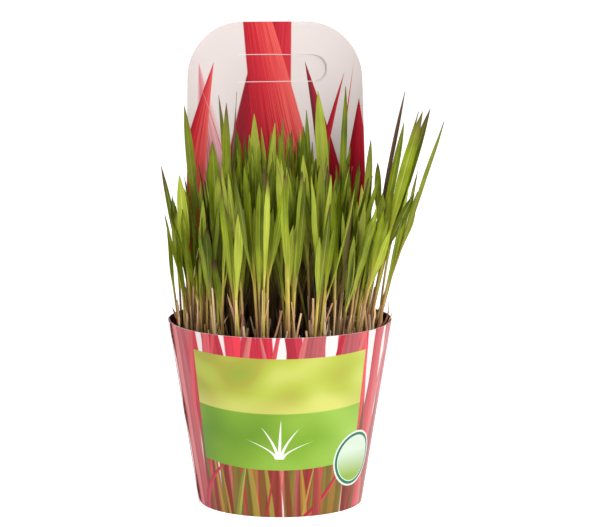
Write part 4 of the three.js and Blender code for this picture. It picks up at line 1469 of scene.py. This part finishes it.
# Single dry bits that stray from the tufts
STRAY_BITS = outlines(
    ((-26, 16), (-25.4, 21, 250), 1.5, 0.5, -4.0), ((53, -4), (68, -11, 119), 1.3, 0.9, 5.0),
    ((56, -12), (66, -6, 125), 1.2, 1.2, 3.0), ((-60, -3), (-66, -2, 120.5), 2.0, 0.4, 0.0),
    ((-56, -16), (-62, -22, 118), 1.2, 0.8, -3.0), ((20, -46), (26, -57, 119), 1.2, 1.0, 2.0),
    ((-61, 3), (-63.5, 3, 125), 2.0, 1.0, 0.4), ((-60, -11), (-63, -13, 128), 1.6, 1.0, -0.5),
    ((-59, 12), (-61, 13, 146), 1.8, 0.9, 1.0), ((-61, -4), (-66, -5, 122), 1.3, 0.8, 0.6),
    ((-57, -19), (-58, -21, 124), 2.0, 1.0, 0.3), ((60, -6), (62.5, -8, 122), 1.7, 1.0, 0.5),
    ((58, -15), (60, -17, 124), 2.0, 1.0, 0.4), ((55, -24), (57, -26, 126), 1.6, 1.0, -0.3),
)

# Slim green shoots at the outer edge of the tufts
OUTER_SHOOTS = outlines(
    ((-60, -2), (-67, -2, 188), 4.0, 0.8, 1.0), ((-61, 6), (-69, 8, 171), 3.4, 0.7, -1.0),
    ((-58, -13), (-64, -15, 168), 3.8, 0.8, 1.0), ((59, -7), (78, -9, 196), 4.2, 0.75, 1.0),
    ((60, 3), (80, 5, 212), 4.0, 0.75, -1.5), ((57, -17), (73, -20, 178), 3.6, 0.8, 1.0),
    ((59, -1), (84, -4, 205), 3.4, 0.7, 2.0),
)


def point_gap(point: np.ndarray, middle: np.ndarray, half: np.ndarray) -> np.ndarray:
    """The distances from points to short lines, given by middle and half line."""
    length = (half * half).sum(axis=0)
    along = np.where(length > 0, ((point - middle) * half).sum(axis=0) / length, 0)
    return np.hypot(*(point - middle - np.clip(along, -1, 1) * half))


def line_gaps(a: np.ndarray, b: np.ndarray) -> np.ndarray:
    """The distances between two sets of short lines, given by middle and half line."""
    shape = np.broadcast_shapes(a.shape, b.shape)[:-1]
    parts = [np.broadcast_to(part, (*shape, 5)) for part in (a, b)]
    (a_middle, a_half), (b_middle, b_half) = [
        (np.stack([part[..., 0], part[..., 1]]), np.stack([part[..., 2], part[..., 3]])) for part in parts]
    apart = b_middle - a_middle
    with np.errstate(divide="ignore", invalid="ignore"):
        cross = a_half[0] * b_half[1] - a_half[1] * b_half[0]
        t = (apart[0] * b_half[1] - apart[1] * b_half[0]) / cross
        s = (apart[0] * a_half[1] - apart[1] * a_half[0]) / cross
        crossing = (np.abs(cross) > 1e-9) & (np.abs(t) <= 1) & (np.abs(s) <= 1)
        nearest = np.minimum.reduce([
            point_gap(a_middle + a_half, b_middle, b_half), point_gap(a_middle - a_half, b_middle, b_half),
            point_gap(b_middle + b_half, a_middle, a_half), point_gap(b_middle - b_half, a_middle, a_half)])
    return np.where(crossing, 0, nearest)


@dataclass
class GrassPlan:
    """Places every blade where it has room, as the solids do."""

    rule: GrassRule = field(default_factory=GrassRule)
    lead_rule: LeadRule = LeadRule()
    culm_rule: CulmRule = CulmRule()
    side_rule: SideRule = SideRule()
    stub_rule: StubRule = StubRule()
    sleeve: CardSleeve = field(default_factory=CardSleeve)
    pot: GrowerPot = field(default_factory=GrowerPot)
    centres: list[Pair] = field(default_factory=list)
    blades: list[Blade] = field(default_factory=list)
    taken: set[tuple[int, int]] = field(default_factory=set)

    def __post_init__(self) -> None:
        """Sets out the crowns in circles round the pot's axis."""
        draw = RandomStream(self.rule.crowns_seed)
        stray = self.rule.crown_stray
        for count, radius in self.rule.circles:
            for i in range(count):
                angle = i / count * FULL_TURN
                self.centres.append((radius * math.cos(angle) + draw(-stray, stray),
                                     radius * math.sin(angle) + draw(-stray, stray)))
        self.outer_circle = self.rule.circles[-1][1]
        self.level_count = int(self.sleeve.panel_top / self.rule.level_step) + 1
        self.table = np.full((0, self.level_count, 5), np.nan)
        self.tufts = np.empty(0, dtype=int)

    def root_point(self, tuft: int, place: float, ring: float) -> Pair:
        """Where a culm stands on the ring round its crown's axis."""
        x, y = self.centres[tuft]
        angle = place / self.rule.culms * FULL_TURN + tuft
        return x + ring * math.cos(angle), y + ring * math.sin(angle)

    def level_lines(self, blade: Blade) -> tuple[int, np.ndarray]:
        """The blade's width at each level of height, as short lines.

        Args:
            blade: The blade to measure.

        Returns:
            The lowest level's number, and a row for each level: middle, half line and reach.
        """
        rule = self.rule
        stations = np.array(rule.stations[blade.kind], dtype=float)
        centre = blade.point(stations)
        along, across = blade.frames(stations, rule.tangent_step)
        heights = centre[:, 2]
        first = math.ceil(heights[0] / rule.level_step)
        at = np.arange(first, math.floor(heights[-1] / rule.level_step) + 1) * rule.level_step
        slope = np.maximum(rule.steepest, np.interp(at, heights, along[:, 2]))
        half = np.interp(at, heights, blade.half_width(stations, rule)) / slope
        reach = rule.keel_share * np.interp(at, heights, blade.thickness(stations, rule)) / slope
        middle = [np.interp(at, heights, centre[:, axis]) for axis in (0, 1)]
        line = [np.interp(at, heights, across[:, axis]) * half for axis in (0, 1)]
        return first, np.stack([*middle, *line, reach], axis=1)

    def inside_holder(self, first: int, lines: np.ndarray) -> bool:
        """Whether the lines stay clear of the pot, the collar and the panel."""
        rule, sleeve = self.rule, self.sleeve
        z = (first + np.arange(len(lines))) * rule.level_step
        collar = sleeve.base_radius + (sleeve.top_radius - sleeve.base_radius) * z / sleeve.height
        half_turn = sleeve.panel_half_turn
        half_width, sag = sleeve.panel_form(
            np.clip((z - sleeve.height) / (sleeve.panel_top - sleeve.height), 0, 1))
        inner = self.pot.wall_radius(rule.soil_top) - rule.wall_gap
        for side in (-1, 1):
            x, y = (lines[:, axis] + side * lines[:, axis + 2] for axis in (0, 1))
            radius = np.hypot(x, y) + lines[:, 4]
            if np.any((z < self.pot.height + rule.wall_gap) & (radius > inner)):
                return False
            if np.any((z < sleeve.height + rule.rim_gap) & (radius > collar - rule.rim_gap)):
                return False
            behind = (z >= sleeve.height - rule.rim_gap) & (y > 0)
            behind &= np.abs(x) <= half_width + rule.rim_gap
            sine = np.clip(x / (half_width / math.sin(half_turn)), -1, 1)
            face = collar - sag / (1 - math.cos(half_turn)) * (1 - np.cos(np.arcsin(sine)))
            if np.any(behind & (y + lines[:, 4] + rule.wall_gap > face)):
                return False
        return True

    def has_room(self, blade: Blade) -> bool:
        """Whether a blade keeps clear of the holder and of every blade that is already placed."""
        rule = self.rule
        first, lines = blade.levels
        if not self.inside_holder(first, lines):
            return False
        if not self.blades:
            return True
        last = first + len(lines)
        others = self.table[:, first:last]
        same = (self.tufts == blade.tuft)[:, None]
        z = (np.arange(first, last) * rule.level_step)[None, :]
        need = lines[None, :, 4] + others[:, :, 4] + np.where(same, 0, rule.blade_gap)
        blocked = ~np.isnan(others[:, :, 0]) & (line_gaps(lines[None, :, :], others) < need)
        blocked &= ~(same & (z < rule.soil_top + rule.tuft_free))
        if blade.parent is not None:
            own = next(i for i, other in enumerate(self.blades) if other is blade.parent)
            blocked[own] &= z[0] >= blade.base[2] + rule.fork_free
        return not blocked.any()

    def place_blade(self, propose: Callable[[float], Blade]) -> Blade | None:
        """Tries candidates until one has room.

        Args:
            propose: Makes a candidate from how loose it may be, from 0 to 1.

        Returns:
            The placed blade, or None where there is no room.
        """
        for attempt in range(self.rule.tries):
            blade = propose(attempt / self.rule.tries)
            blade.levels = first, lines = self.level_lines(blade)
            if self.has_room(blade):
                row = np.full((1, self.level_count, 5), np.nan)
                row[0, first:first + len(lines)] = lines
                self.table = np.concatenate([self.table, row])
                self.tufts = np.append(self.tufts, blade.tuft)
                self.blades.append(blade)
                return blade
        return None

    def rooted(self, tuft: int, place: float, out: float = 0.0) -> Point:
        """Where a culm or stub starts inside its crown, or a point further out on the same side."""
        rule = self.rule
        return (*self.root_point(tuft, place, rule.root_ring + out), rule.soil_top - rule.root_depth)

    def leading(self, lead: Outline, tuft: int, place: int, draw: RandomStream, loose: float) -> Blade:
        """A candidate for one of the blades that give the plant its outline."""
        rule, tip, width = self.lead_rule, lead.tip, lead.width
        stray, depth = lerp(*rule.stray, loose), lerp(*rule.depth_stray, loose)
        end = (tip[0] + draw(-stray, stray), tip[1] + draw(-depth, depth), tip[2] + draw(-stray, stray))
        return Blade(Growth.CULM, tuft, self.rooted(tuft, place), end, width,
                     stem=min(rule.stem, rule.stem_share * width), opening=rule.opening,
                     straight=lead.straight, sway=draw(*rule.sway), face=draw(*rule.turn),
                     twist=draw(*rule.twist), cut=lead.clipped)

    def canopy(self, x: float, y: float) -> float:
        """The height above the soil that the tallest culms reach at a place."""
        front = max(0.0, -y / self.outer_circle)
        side = min(1.0, abs(x) / self.outer_circle)
        return self.rule.full_height - self.rule.front_drop * front - self.rule.side_drop * side * side

    def culm(self, tuft: int, place: int, draw: RandomStream, loose: float) -> Blade:
        """A candidate for a culm in its place on a crown."""
        rule, culms = self.rule, self.culm_rule
        x, y, foot = self.rooted(tuft, place)
        share = lerp(*culms.share, draw())
        height = self.canopy(x, y) * share * (1 - culms.shorten * loose)
        radius = math.hypot(x, y)
        lean = rule.lean_away + rule.lean_right * x / radius
        lean = lean * radius / self.outer_circle * height / rule.full_height
        stray = culms.stray * height / rule.full_height
        tip = (x + lean * x / radius + draw(-stray, stray), y + lean * y / radius + draw(-stray, stray),
               rule.soil_top + height)
        width = draw(*culms.width) * (1 - culms.narrow * loose)
        stem, opening, straight, sway = (draw(*span) for span in (culms.stem, culms.opening, culms.straight,
                                                                  culms.sway))
        face = math.atan2(y, x) + math.pi / 2 + draw(*culms.turn)
        return Blade(Growth.CULM, tuft, (x, y, foot), tip, width, stem=stem, opening=opening,
                     straight=straight, sway=sway, face=face, twist=draw(*culms.twist))

    def side(self, parent: Blade, draw: RandomStream, loose: float) -> Blade:
        """A candidate for a side blade, which leaves its culm's sheath towards its face or back."""
        rule = self.side_rule
        start = draw(rule.lowest_fork, parent.opening)
        foot = parent.point(start)
        room = max(rule.least_room, self.canopy(foot[0], foot[1]) + self.rule.soil_top - foot[2])
        rise = min(room, draw(*rule.rise)) * (1 - rule.shorten * loose)
        out = draw(*rule.out)
        half = math.pi / 2 if draw() < 0.5 else -math.pi / 2
        heading = parent.face + half + draw(*rule.aside)
        beside = parent.point(min(1, start + rise / (parent.tip[2] - parent.base[2])))
        tip = (beside[0] + out * math.cos(heading), beside[1] + out * math.sin(heading), foot[2] + rise)
        width = draw(*rule.width) * (1 - rule.narrow * loose)
        straight = draw(*rule.straight)
        face = parent.face + draw(*rule.turn)
        return Blade(Growth.SIDE, parent.tuft, tuple(foot), tip, width, stem=rule.stem,
                     opening=rule.opening, straight=straight, face=face, twist=draw(*rule.twist),
                     parent=parent)

    def stub(self, tuft: int, draw: RandomStream) -> Blade:
        """A candidate for the dry stub of an old culm between two living ones."""
        rule = self.stub_rule
        place = math.floor(draw(0, self.rule.culms)) + 0.5
        height = draw(*rule.height)
        base, aside = self.rooted(tuft, place), self.rooted(tuft, place, height * draw(*rule.lean))
        return Blade(Growth.STUB, tuft, base, (*aside[:2], self.rule.soil_top + height), draw(*rule.width),
                     cut=True, face=place / self.rule.culms * FULL_TURN + tuft + math.pi / 2)

    def free_places(self, tuft: int) -> list[int]:
        """The places on a crown that no leading blade has taken."""
        return [place for place in range(self.rule.culms) if (tuft, place) not in self.taken]

    def grow(self) -> list[Blade]:
        """Places the leading blades, the other culms, their side blades and the stubs.

        Returns:
            All the blades.
        """
        rule, tufts = self.rule, range(len(self.centres))
        for index, lead in enumerate(LEADING_BLADES):
            draw = RandomStream(rule.leading_seed + index)
            tuft = min((i for i in tufts if self.free_places(i)),
                       key=lambda i: math.dist(lead.root, self.centres[i]))
            place = min(self.free_places(tuft),
                        key=lambda p: math.dist(lead.root, self.root_point(tuft, p, rule.root_ring)))
            blade = self.place_blade(lambda loose: self.leading(lead, tuft, place, draw, loose))
            if blade:
                self.taken.add((tuft, place))
                blade.reddened = rule.reddened.get(index, 0.0)
        for tuft in tufts:
            for place in self.free_places(tuft):
                draw = RandomStream(rule.culms_seed + rule.culms * tuft + place)
                self.place_blade(lambda loose: self.culm(tuft, place, draw, loose))
        for index, parent in enumerate([blade for blade in self.blades if not blade.cut]):
            draw = RandomStream(rule.sides_seed + index)
            self.place_blade(lambda loose: self.side(parent, draw, loose))
        for index in range(len(tufts) * rule.stubs):
            draw = RandomStream(rule.stubs_seed + index)
            self.place_blade(lambda loose: self.stub(index % len(tufts), draw))
        return self.blades


@dataclass
class GrassTufts:
    """The living grass: one piece for each crown, with its leaves, sheaths, stubs and dry bits."""

    plan: GrassPlan = field(default_factory=GrassPlan)
    ring_sides: int = 8
    stations: int = 17
    sheath_rings: float = 0.22
    sheath_slimness: float = 0.8
    least_half: float = 0.12
    valley: float = 0.42
    opening_start: float = 0.85
    opening_span: float = 0.6
    full_depth_half: float = 1.2
    stub_taper: float = 0.25
    fork_width: float = 0.35
    fork_reach: float = 0.1
    ripple: Pair = (0.1, 0.5)
    ripple_waves: Pair = (9, 17)
    tones: Pair = (0.05, 0.95)
    extra_stubs: int = 9
    stub_ring: Pair = (1.5, 7.5)
    short_stubs: float = 0.7
    short_stub: Pair = (6, 22)
    tall_stub: Pair = (18, 38)
    stub_lean: Pair = (0.0, 0.35)
    stub_width: Pair = (0.7, 2.1)
    stub_root: float = 1.5
    wall_room: float = 2.0
    wisps: int = 1
    wisp_height: Pair = (18, 62)
    wisp_lean: Pair = (0.05, 0.3)
    wisp_width: Pair = (0.8, 1.8)
    wisp_reach: float = 60.0
    wisp_stem: float = 0.4
    wisp_opening: float = 0.2
    stray_form: Pair = (0.45, 0.3)
    shoot_form: Pair = (0.9, 0.4)
    single_turn: Pair = (0.3, 0.6)
    tone_seed: int = 7000
    stub_seed: int = 8000
    crown_seed: int = 8500
    crown_size: Point = (5.7, 5.7, 2.4)
    crown_unevenness: float = 0.35
    crown_growth: tuple[float, ...] = (0.5, 0.2, 0.05, 0.0)

    @property
    def soil_top(self) -> float:
        """The height of the soil's surface."""
        return self.plan.rule.soil_top

    def blank(self) -> Piece:
        """The blank for every blade: a slim closed tube with even rings along it."""
        blank = new_piece("blade_blank", bpy.ops.mesh.primitive_cylinder_add, vertices=self.ring_sides,
                          radius=1.0, depth=1.0, location=(0, 0, 0.5))
        bpy.ops.object.mode_set(mode="EDIT")
        bpy.ops.mesh.select_mode(type="EDGE")
        bpy.ops.mesh.select_all(action="DESELECT")
        bpy.ops.object.mode_set(mode="OBJECT")
        points = vertex_array(blank.data)
        for edge in blank.data.edges:
            low, high = edge.vertices
            edge.select = abs(points[low][2] - points[high][2]) > 0.5
        bpy.ops.object.mode_set(mode="EDIT")
        bpy.ops.mesh.subdivide(number_cuts=self.stations - 2)
        bpy.ops.object.mode_set(mode="OBJECT")
        bpy.ops.object.shade_smooth()
        for name in ("growth", "stand"):
            blank.data.color_attributes.new(name, "FLOAT_COLOR", "POINT")
        return blank

    def section(self, angle: np.ndarray, opened: np.ndarray, half: np.ndarray,
                deep: np.ndarray) -> tuple[np.ndarray, np.ndarray]:
        """The section's points: round in the sheath, a keeled gutter in the open leaf.

        Args:
            angle: Each point's angle in the round blank.
            opened: How far the leaf has opened there, from 0 to 1.
            half: Half the width there.
            deep: The depth from face to keel there.

        Returns:
            Each point's place across the leaf and behind its middle line.
        """
        face = (self.plan.rule.keel_share - 1) * deep
        round_across, round_back = half * np.cos(angle), half * np.sin(angle)
        side = np.sign(np.cos(angle)) * np.abs(np.cos(angle)) ** 0.9
        valley = 1 - np.abs(side)
        leaf_back = np.where(np.sin(angle) > 0.01, face + deep * valley ** 1.15,
                             face + self.valley * deep * valley)
        return (round_across + (half * side - round_across) * opened,
                round_back + (leaf_back - round_back) * opened)

    def shape(self, copy: Piece, blade: Blade, draw: RandomStream) -> None:
        """Grows a copy of the blank into one blade.

        Args:
            copy: The copy, whose mesh is changed.
            blade: The blade that it becomes.
            draw: Gives the blade's tone and dryness.
        """
        rule = self.plan.rule
        flat = vertex_array(copy.data)
        share = np.clip(flat[:, 2], 0, 1)
        if blade.kind is Growth.CULM:
            share = np.interp(share, [0, self.sheath_rings, 1], [0, blade.opening * 0.92, 1])
        angle = np.arctan2(flat[:, 1], flat[:, 0])
        along, across = blade.frames(share, rule.tangent_step)
        back = np.cross(along, across)
        half = np.maximum(blade.half_width(share, rule), self.least_half)
        deep = blade.thickness(share, rule) * np.minimum(1, half / self.full_depth_half)
        deep = np.maximum(deep, self.least_half)
        if blade.kind is Growth.STUB:
            opened = np.zeros_like(share)
            half = half * (1 - self.stub_taper * share)
        else:
            opened = smoothstep((share / blade.opening - self.opening_start) / self.opening_span)
            half = half * lerp(self.sheath_slimness, 1, opened)
            if blade.kind is Growth.SIDE:
                half = half * lerp(self.fork_width, 1, smoothstep(share / self.fork_reach))
        ripple = draw(*self.ripple) * np.sin(share * draw(*self.ripple_waves) + draw(0, 6)) * opened
        a, b = self.section(angle, opened, half, deep)
        points = blade.point(share) + a[:, None] * across
        points = points + (b + ripple * np.abs(np.cos(angle)))[:, None] * back
        write_vertices(copy.data, points)
        tone, dryness, tint = draw(*self.tones), draw() ** 4, draw()
        if blade.cut and blade.kind is Growth.CULM:
            dryness = 1.0
        height = (points[:, 2] - rule.soil_top) * MM
        mark_points(copy, "growth", np.cos(angle) * 0.5 + 0.5, share, tone, min(1.0, dryness * 1.3))
        mark_points(copy, "stand", height, opened, tint, blade.reddened)

    def drawn_in(self, x: float, y: float, limit: float) -> Pair:
        """A place, pulled back to a limit of distance from the pot's axis."""
        pull = min(1.0, limit / max(math.hypot(x, y), 1e-6))
        return x * pull, y * pull

    def dry_stub(self, tuft: int, draw: RandomStream) -> Blade:
        """A short dry stalk or sheath that stands in or beside a crown."""
        top, limit = self.soil_top, self.plan.pot.wall_radius(self.soil_top) - self.wall_room
        x, y = self.plan.centres[tuft]
        around, ring = draw(0, FULL_TURN), draw(*self.stub_ring)
        x, y = self.drawn_in(x + ring * math.cos(around), y + ring * math.sin(around), limit)
        height = draw(*(self.short_stub if draw() < self.short_stubs else self.tall_stub))
        lean, heading = height * draw(*self.stub_lean), draw(0, FULL_TURN)
        tip = self.drawn_in(x + lean * math.cos(heading), y + lean * math.sin(heading), limit)
        return Blade(Growth.STUB, tuft, (x, y, top - self.stub_root), (*tip, top + height),
                     draw(*self.stub_width), sway=draw(-0.8, 0.8), face=draw(0, math.pi),
                     twist=draw(-1, 1), cut=True)

    def wisp(self, tuft: int, draw: RandomStream) -> Blade:
        """A thin dry leaf that leans out among the stems."""
        x, y = self.plan.centres[tuft]
        height = draw(*self.wisp_height)
        lean, heading = height * draw(*self.wisp_lean), draw(0, FULL_TURN)
        tip = self.drawn_in(x + lean * math.cos(heading), y + lean * math.sin(heading), self.wisp_reach)
        return Blade(Growth.SIDE, tuft, (x, y, self.soil_top), (*tip, self.soil_top + height),
                     draw(*self.wisp_width), stem=self.wisp_stem, opening=self.wisp_opening,
                     straight=draw(0.3, 1.0), sway=draw(-3, 3), face=draw(0, math.pi),
                     twist=draw(-2.5, 2.5))

    def singles(self, table: tuple[Outline, ...], stem: float, opening: float) -> list[Blade]:
        """The single blades of a table, each with the tuft nearest to its root.

        Args:
            table: The blades.
            stem: Half the width of a blade's sheath.
            opening: The share of its length at which a blade starts to open.

        Returns:
            The blades.
        """
        tufts, (face, twist) = range(len(self.plan.centres)), self.single_turn
        return [Blade(Growth.SIDE, min(tufts, key=lambda i: math.dist(row.root, self.plan.centres[i])),
                      (*row.root, self.soil_top), row.tip, row.width, stem=stem, opening=opening,
                      straight=row.straight, sway=row.sway, face=face, twist=twist) for row in table]

    def crown(self, tuft: int) -> Piece:
        """The low mound of old sheath bases where a tuft leaves the soil."""
        crown = new_piece("crown", bpy.ops.mesh.primitive_uv_sphere_add, segments=14, ring_count=8,
                          radius=1.0)
        shift = Vector((RandomStream(self.crown_seed + tuft)(0, 90), 0, 0))
        points = vertex_array(crown.data)
        scale = np.array([1 + self.crown_unevenness * noise.noise(Vector(p) * 2.3 + shift) for p in points])
        points = points * scale[:, None] * self.crown_size + (*self.plan.centres[tuft], self.soil_top)
        write_vertices(crown.data, points)
        bpy.ops.object.shade_smooth()
        crown.data.color_attributes.new("growth", "FLOAT_COLOR", "POINT")
        mark_points(crown, "growth", *self.crown_growth)
        return crown

    def build(self) -> list[Piece]:
        """Grows all the tufts.

        Returns:
            One piece for each crown.
        """
        blades = self.plan.grow()
        log.info("%d blades placed", len(blades))
        strays = self.singles(STRAY_BITS, *self.stray_form)
        shoots = self.singles(OUTER_SHOOTS, *self.shoot_form)
        blank = self.blank()
        leaf, straw = GrassLeaf().material(), DryStraw().material()
        pieces = []
        for tuft in range(len(self.plan.centres)):
            draw = RandomStream(self.stub_seed + tuft)
            own = [(blade, straw if blade.kind is Growth.STUB else leaf) for blade in blades]
            own += [(self.dry_stub(tuft, draw), straw) for _ in range(self.extra_stubs)]
            own += [(self.wisp(tuft, draw), straw) for _ in range(self.wisps)]
            own += [(stray, straw) for stray in strays] + [(shoot, leaf) for shoot in shoots]
            crown = self.crown(tuft)
            crown.data.materials.append(straw)
            parts = [crown]
            for index, (blade, finish) in enumerate(pair for pair in own if pair[0].tuft == tuft):
                copy = copy_piece(blank, f"blade_{tuft}_{index}")
                self.shape(copy, blade, RandomStream(self.tone_seed + 100 * tuft + index))
                copy.data.materials.append(finish)
                parts.append(copy)
            piece = join_pieces(parts, f"grass_tuft_{tuft + 1:02d}")
            bpy.ops.object.shade_smooth_by_angle(angle=math.radians(50))
            pieces.append(settle(piece, "grass", f"tuft_{tuft + 1:02d}"))
        bpy.data.objects.remove(blank, do_unlink=True)
        return pieces


# ---- studio
@dataclass(frozen=True)
class SoftBox:
    """One soft studio light, aimed at the plant."""

    name: str
    place: Point
    size: float
    power: float
    aim: Point = (0.0, 0.0, 0.14)

    def build(self) -> Piece:
        """Adds the light and turns it to its aim.

        Returns:
            The light.
        """
        deselect_all()
        bpy.ops.object.light_add(type="AREA", location=self.place)
        light = bpy.context.object
        light.name = self.name
        light.data.shape = "DISK"
        light.data.size = self.size
        light.data.energy = self.power
        direction = Vector(self.aim) - Vector(self.place)
        light.rotation_euler = direction.to_track_quat("-Z", "Y").to_euler()
        return light


@dataclass(frozen=True)
class Studio:
    """A white paper floor, a bright even surround, soft boxes, and the camera."""

    floor_size: float = 60.0
    floor_gap: float = 0.0002
    horizon: float = 1.0
    surround: float = 0.27
    horizon_band: Pair = (0.03, 0.14)
    boxes: tuple[SoftBox, ...] = (
        SoftBox("key_soft_box", (1.4, -1.75, 1.25), 0.55, 26.5),
        SoftBox("fill_soft_box", (-0.6, -2.3, 0.55), 0.8, 12.5),
        SoftBox("top_soft_box", (0.1, -0.2, 1.8), 0.8, 7.0),
        SoftBox("edge_soft_box", (1.1, 1.5, 0.5), 0.6, 5.0))
    image_width: int = 600
    focal_pixels: float = 3400.0
    sensor: float = 36.0
    camera_place: Point = (-0.0772, -2.0486, 0.474)
    pitch: float = math.radians(9.063)
    yaw: float = math.radians(-2.5)
    sight: float = 50.0

    def build(self) -> None:
        """Adds the floor, the surround, the lights and the camera."""
        self.add_floor()
        self.add_surround()
        for box in self.boxes:
            box.build()
        self.add_camera()
        bpy.context.scene.view_settings.view_transform = "Standard"

    def add_floor(self) -> None:
        """A wide floor of seamless paper, just below the base so that the two don't coincide."""
        floor = new_piece("studio_floor", bpy.ops.mesh.primitive_plane_add, size=self.floor_size,
                          location=(0, 0, -self.floor_gap))
        floor.data.materials.append(MattePaper().material())

    def add_surround(self) -> None:
        """A white world, bright where it meets the floor and dimmer above, so that gaps stay dark."""
        world = bpy.data.worlds.new("studio_surround")
        world.use_nodes = True
        node = partial(add_node, world.node_tree)
        way = node("TexCoord").outputs["Generated"]
        rise = node("SeparateXYZ", (way,)).outputs[2]
        glow = node("MapRange", (rise, *self.horizon_band, self.horizon, self.surround))
        feed(world.node_tree, world.node_tree.nodes["Background"], {"Color": WHITE, "Strength": glow})
        bpy.context.scene.world = world

    def add_camera(self) -> None:
        """A long lens a little above the rim, slightly to the left."""
        deselect_all()
        bpy.ops.object.camera_add(location=self.camera_place,
                                  rotation=(math.pi / 2 - self.pitch, 0, self.yaw))
        camera = bpy.context.object
        camera.name = "studio_camera"
        camera.data.sensor_width = self.sensor
        camera.data.lens = self.focal_pixels / self.image_width * self.sensor
        camera.data.clip_end = self.sight
        bpy.context.scene.camera = camera


def main() -> None:
    """Builds the pieces in order, and the studio."""
    logging.basicConfig(level=logging.INFO, format="%(message)s")
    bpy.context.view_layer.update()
    CardSleeve().build()
    GrowerPot().build()
    PottingSoil().build()
    GrassTufts().build()
    Studio().build()


if __name__ == "__main__":
    main()
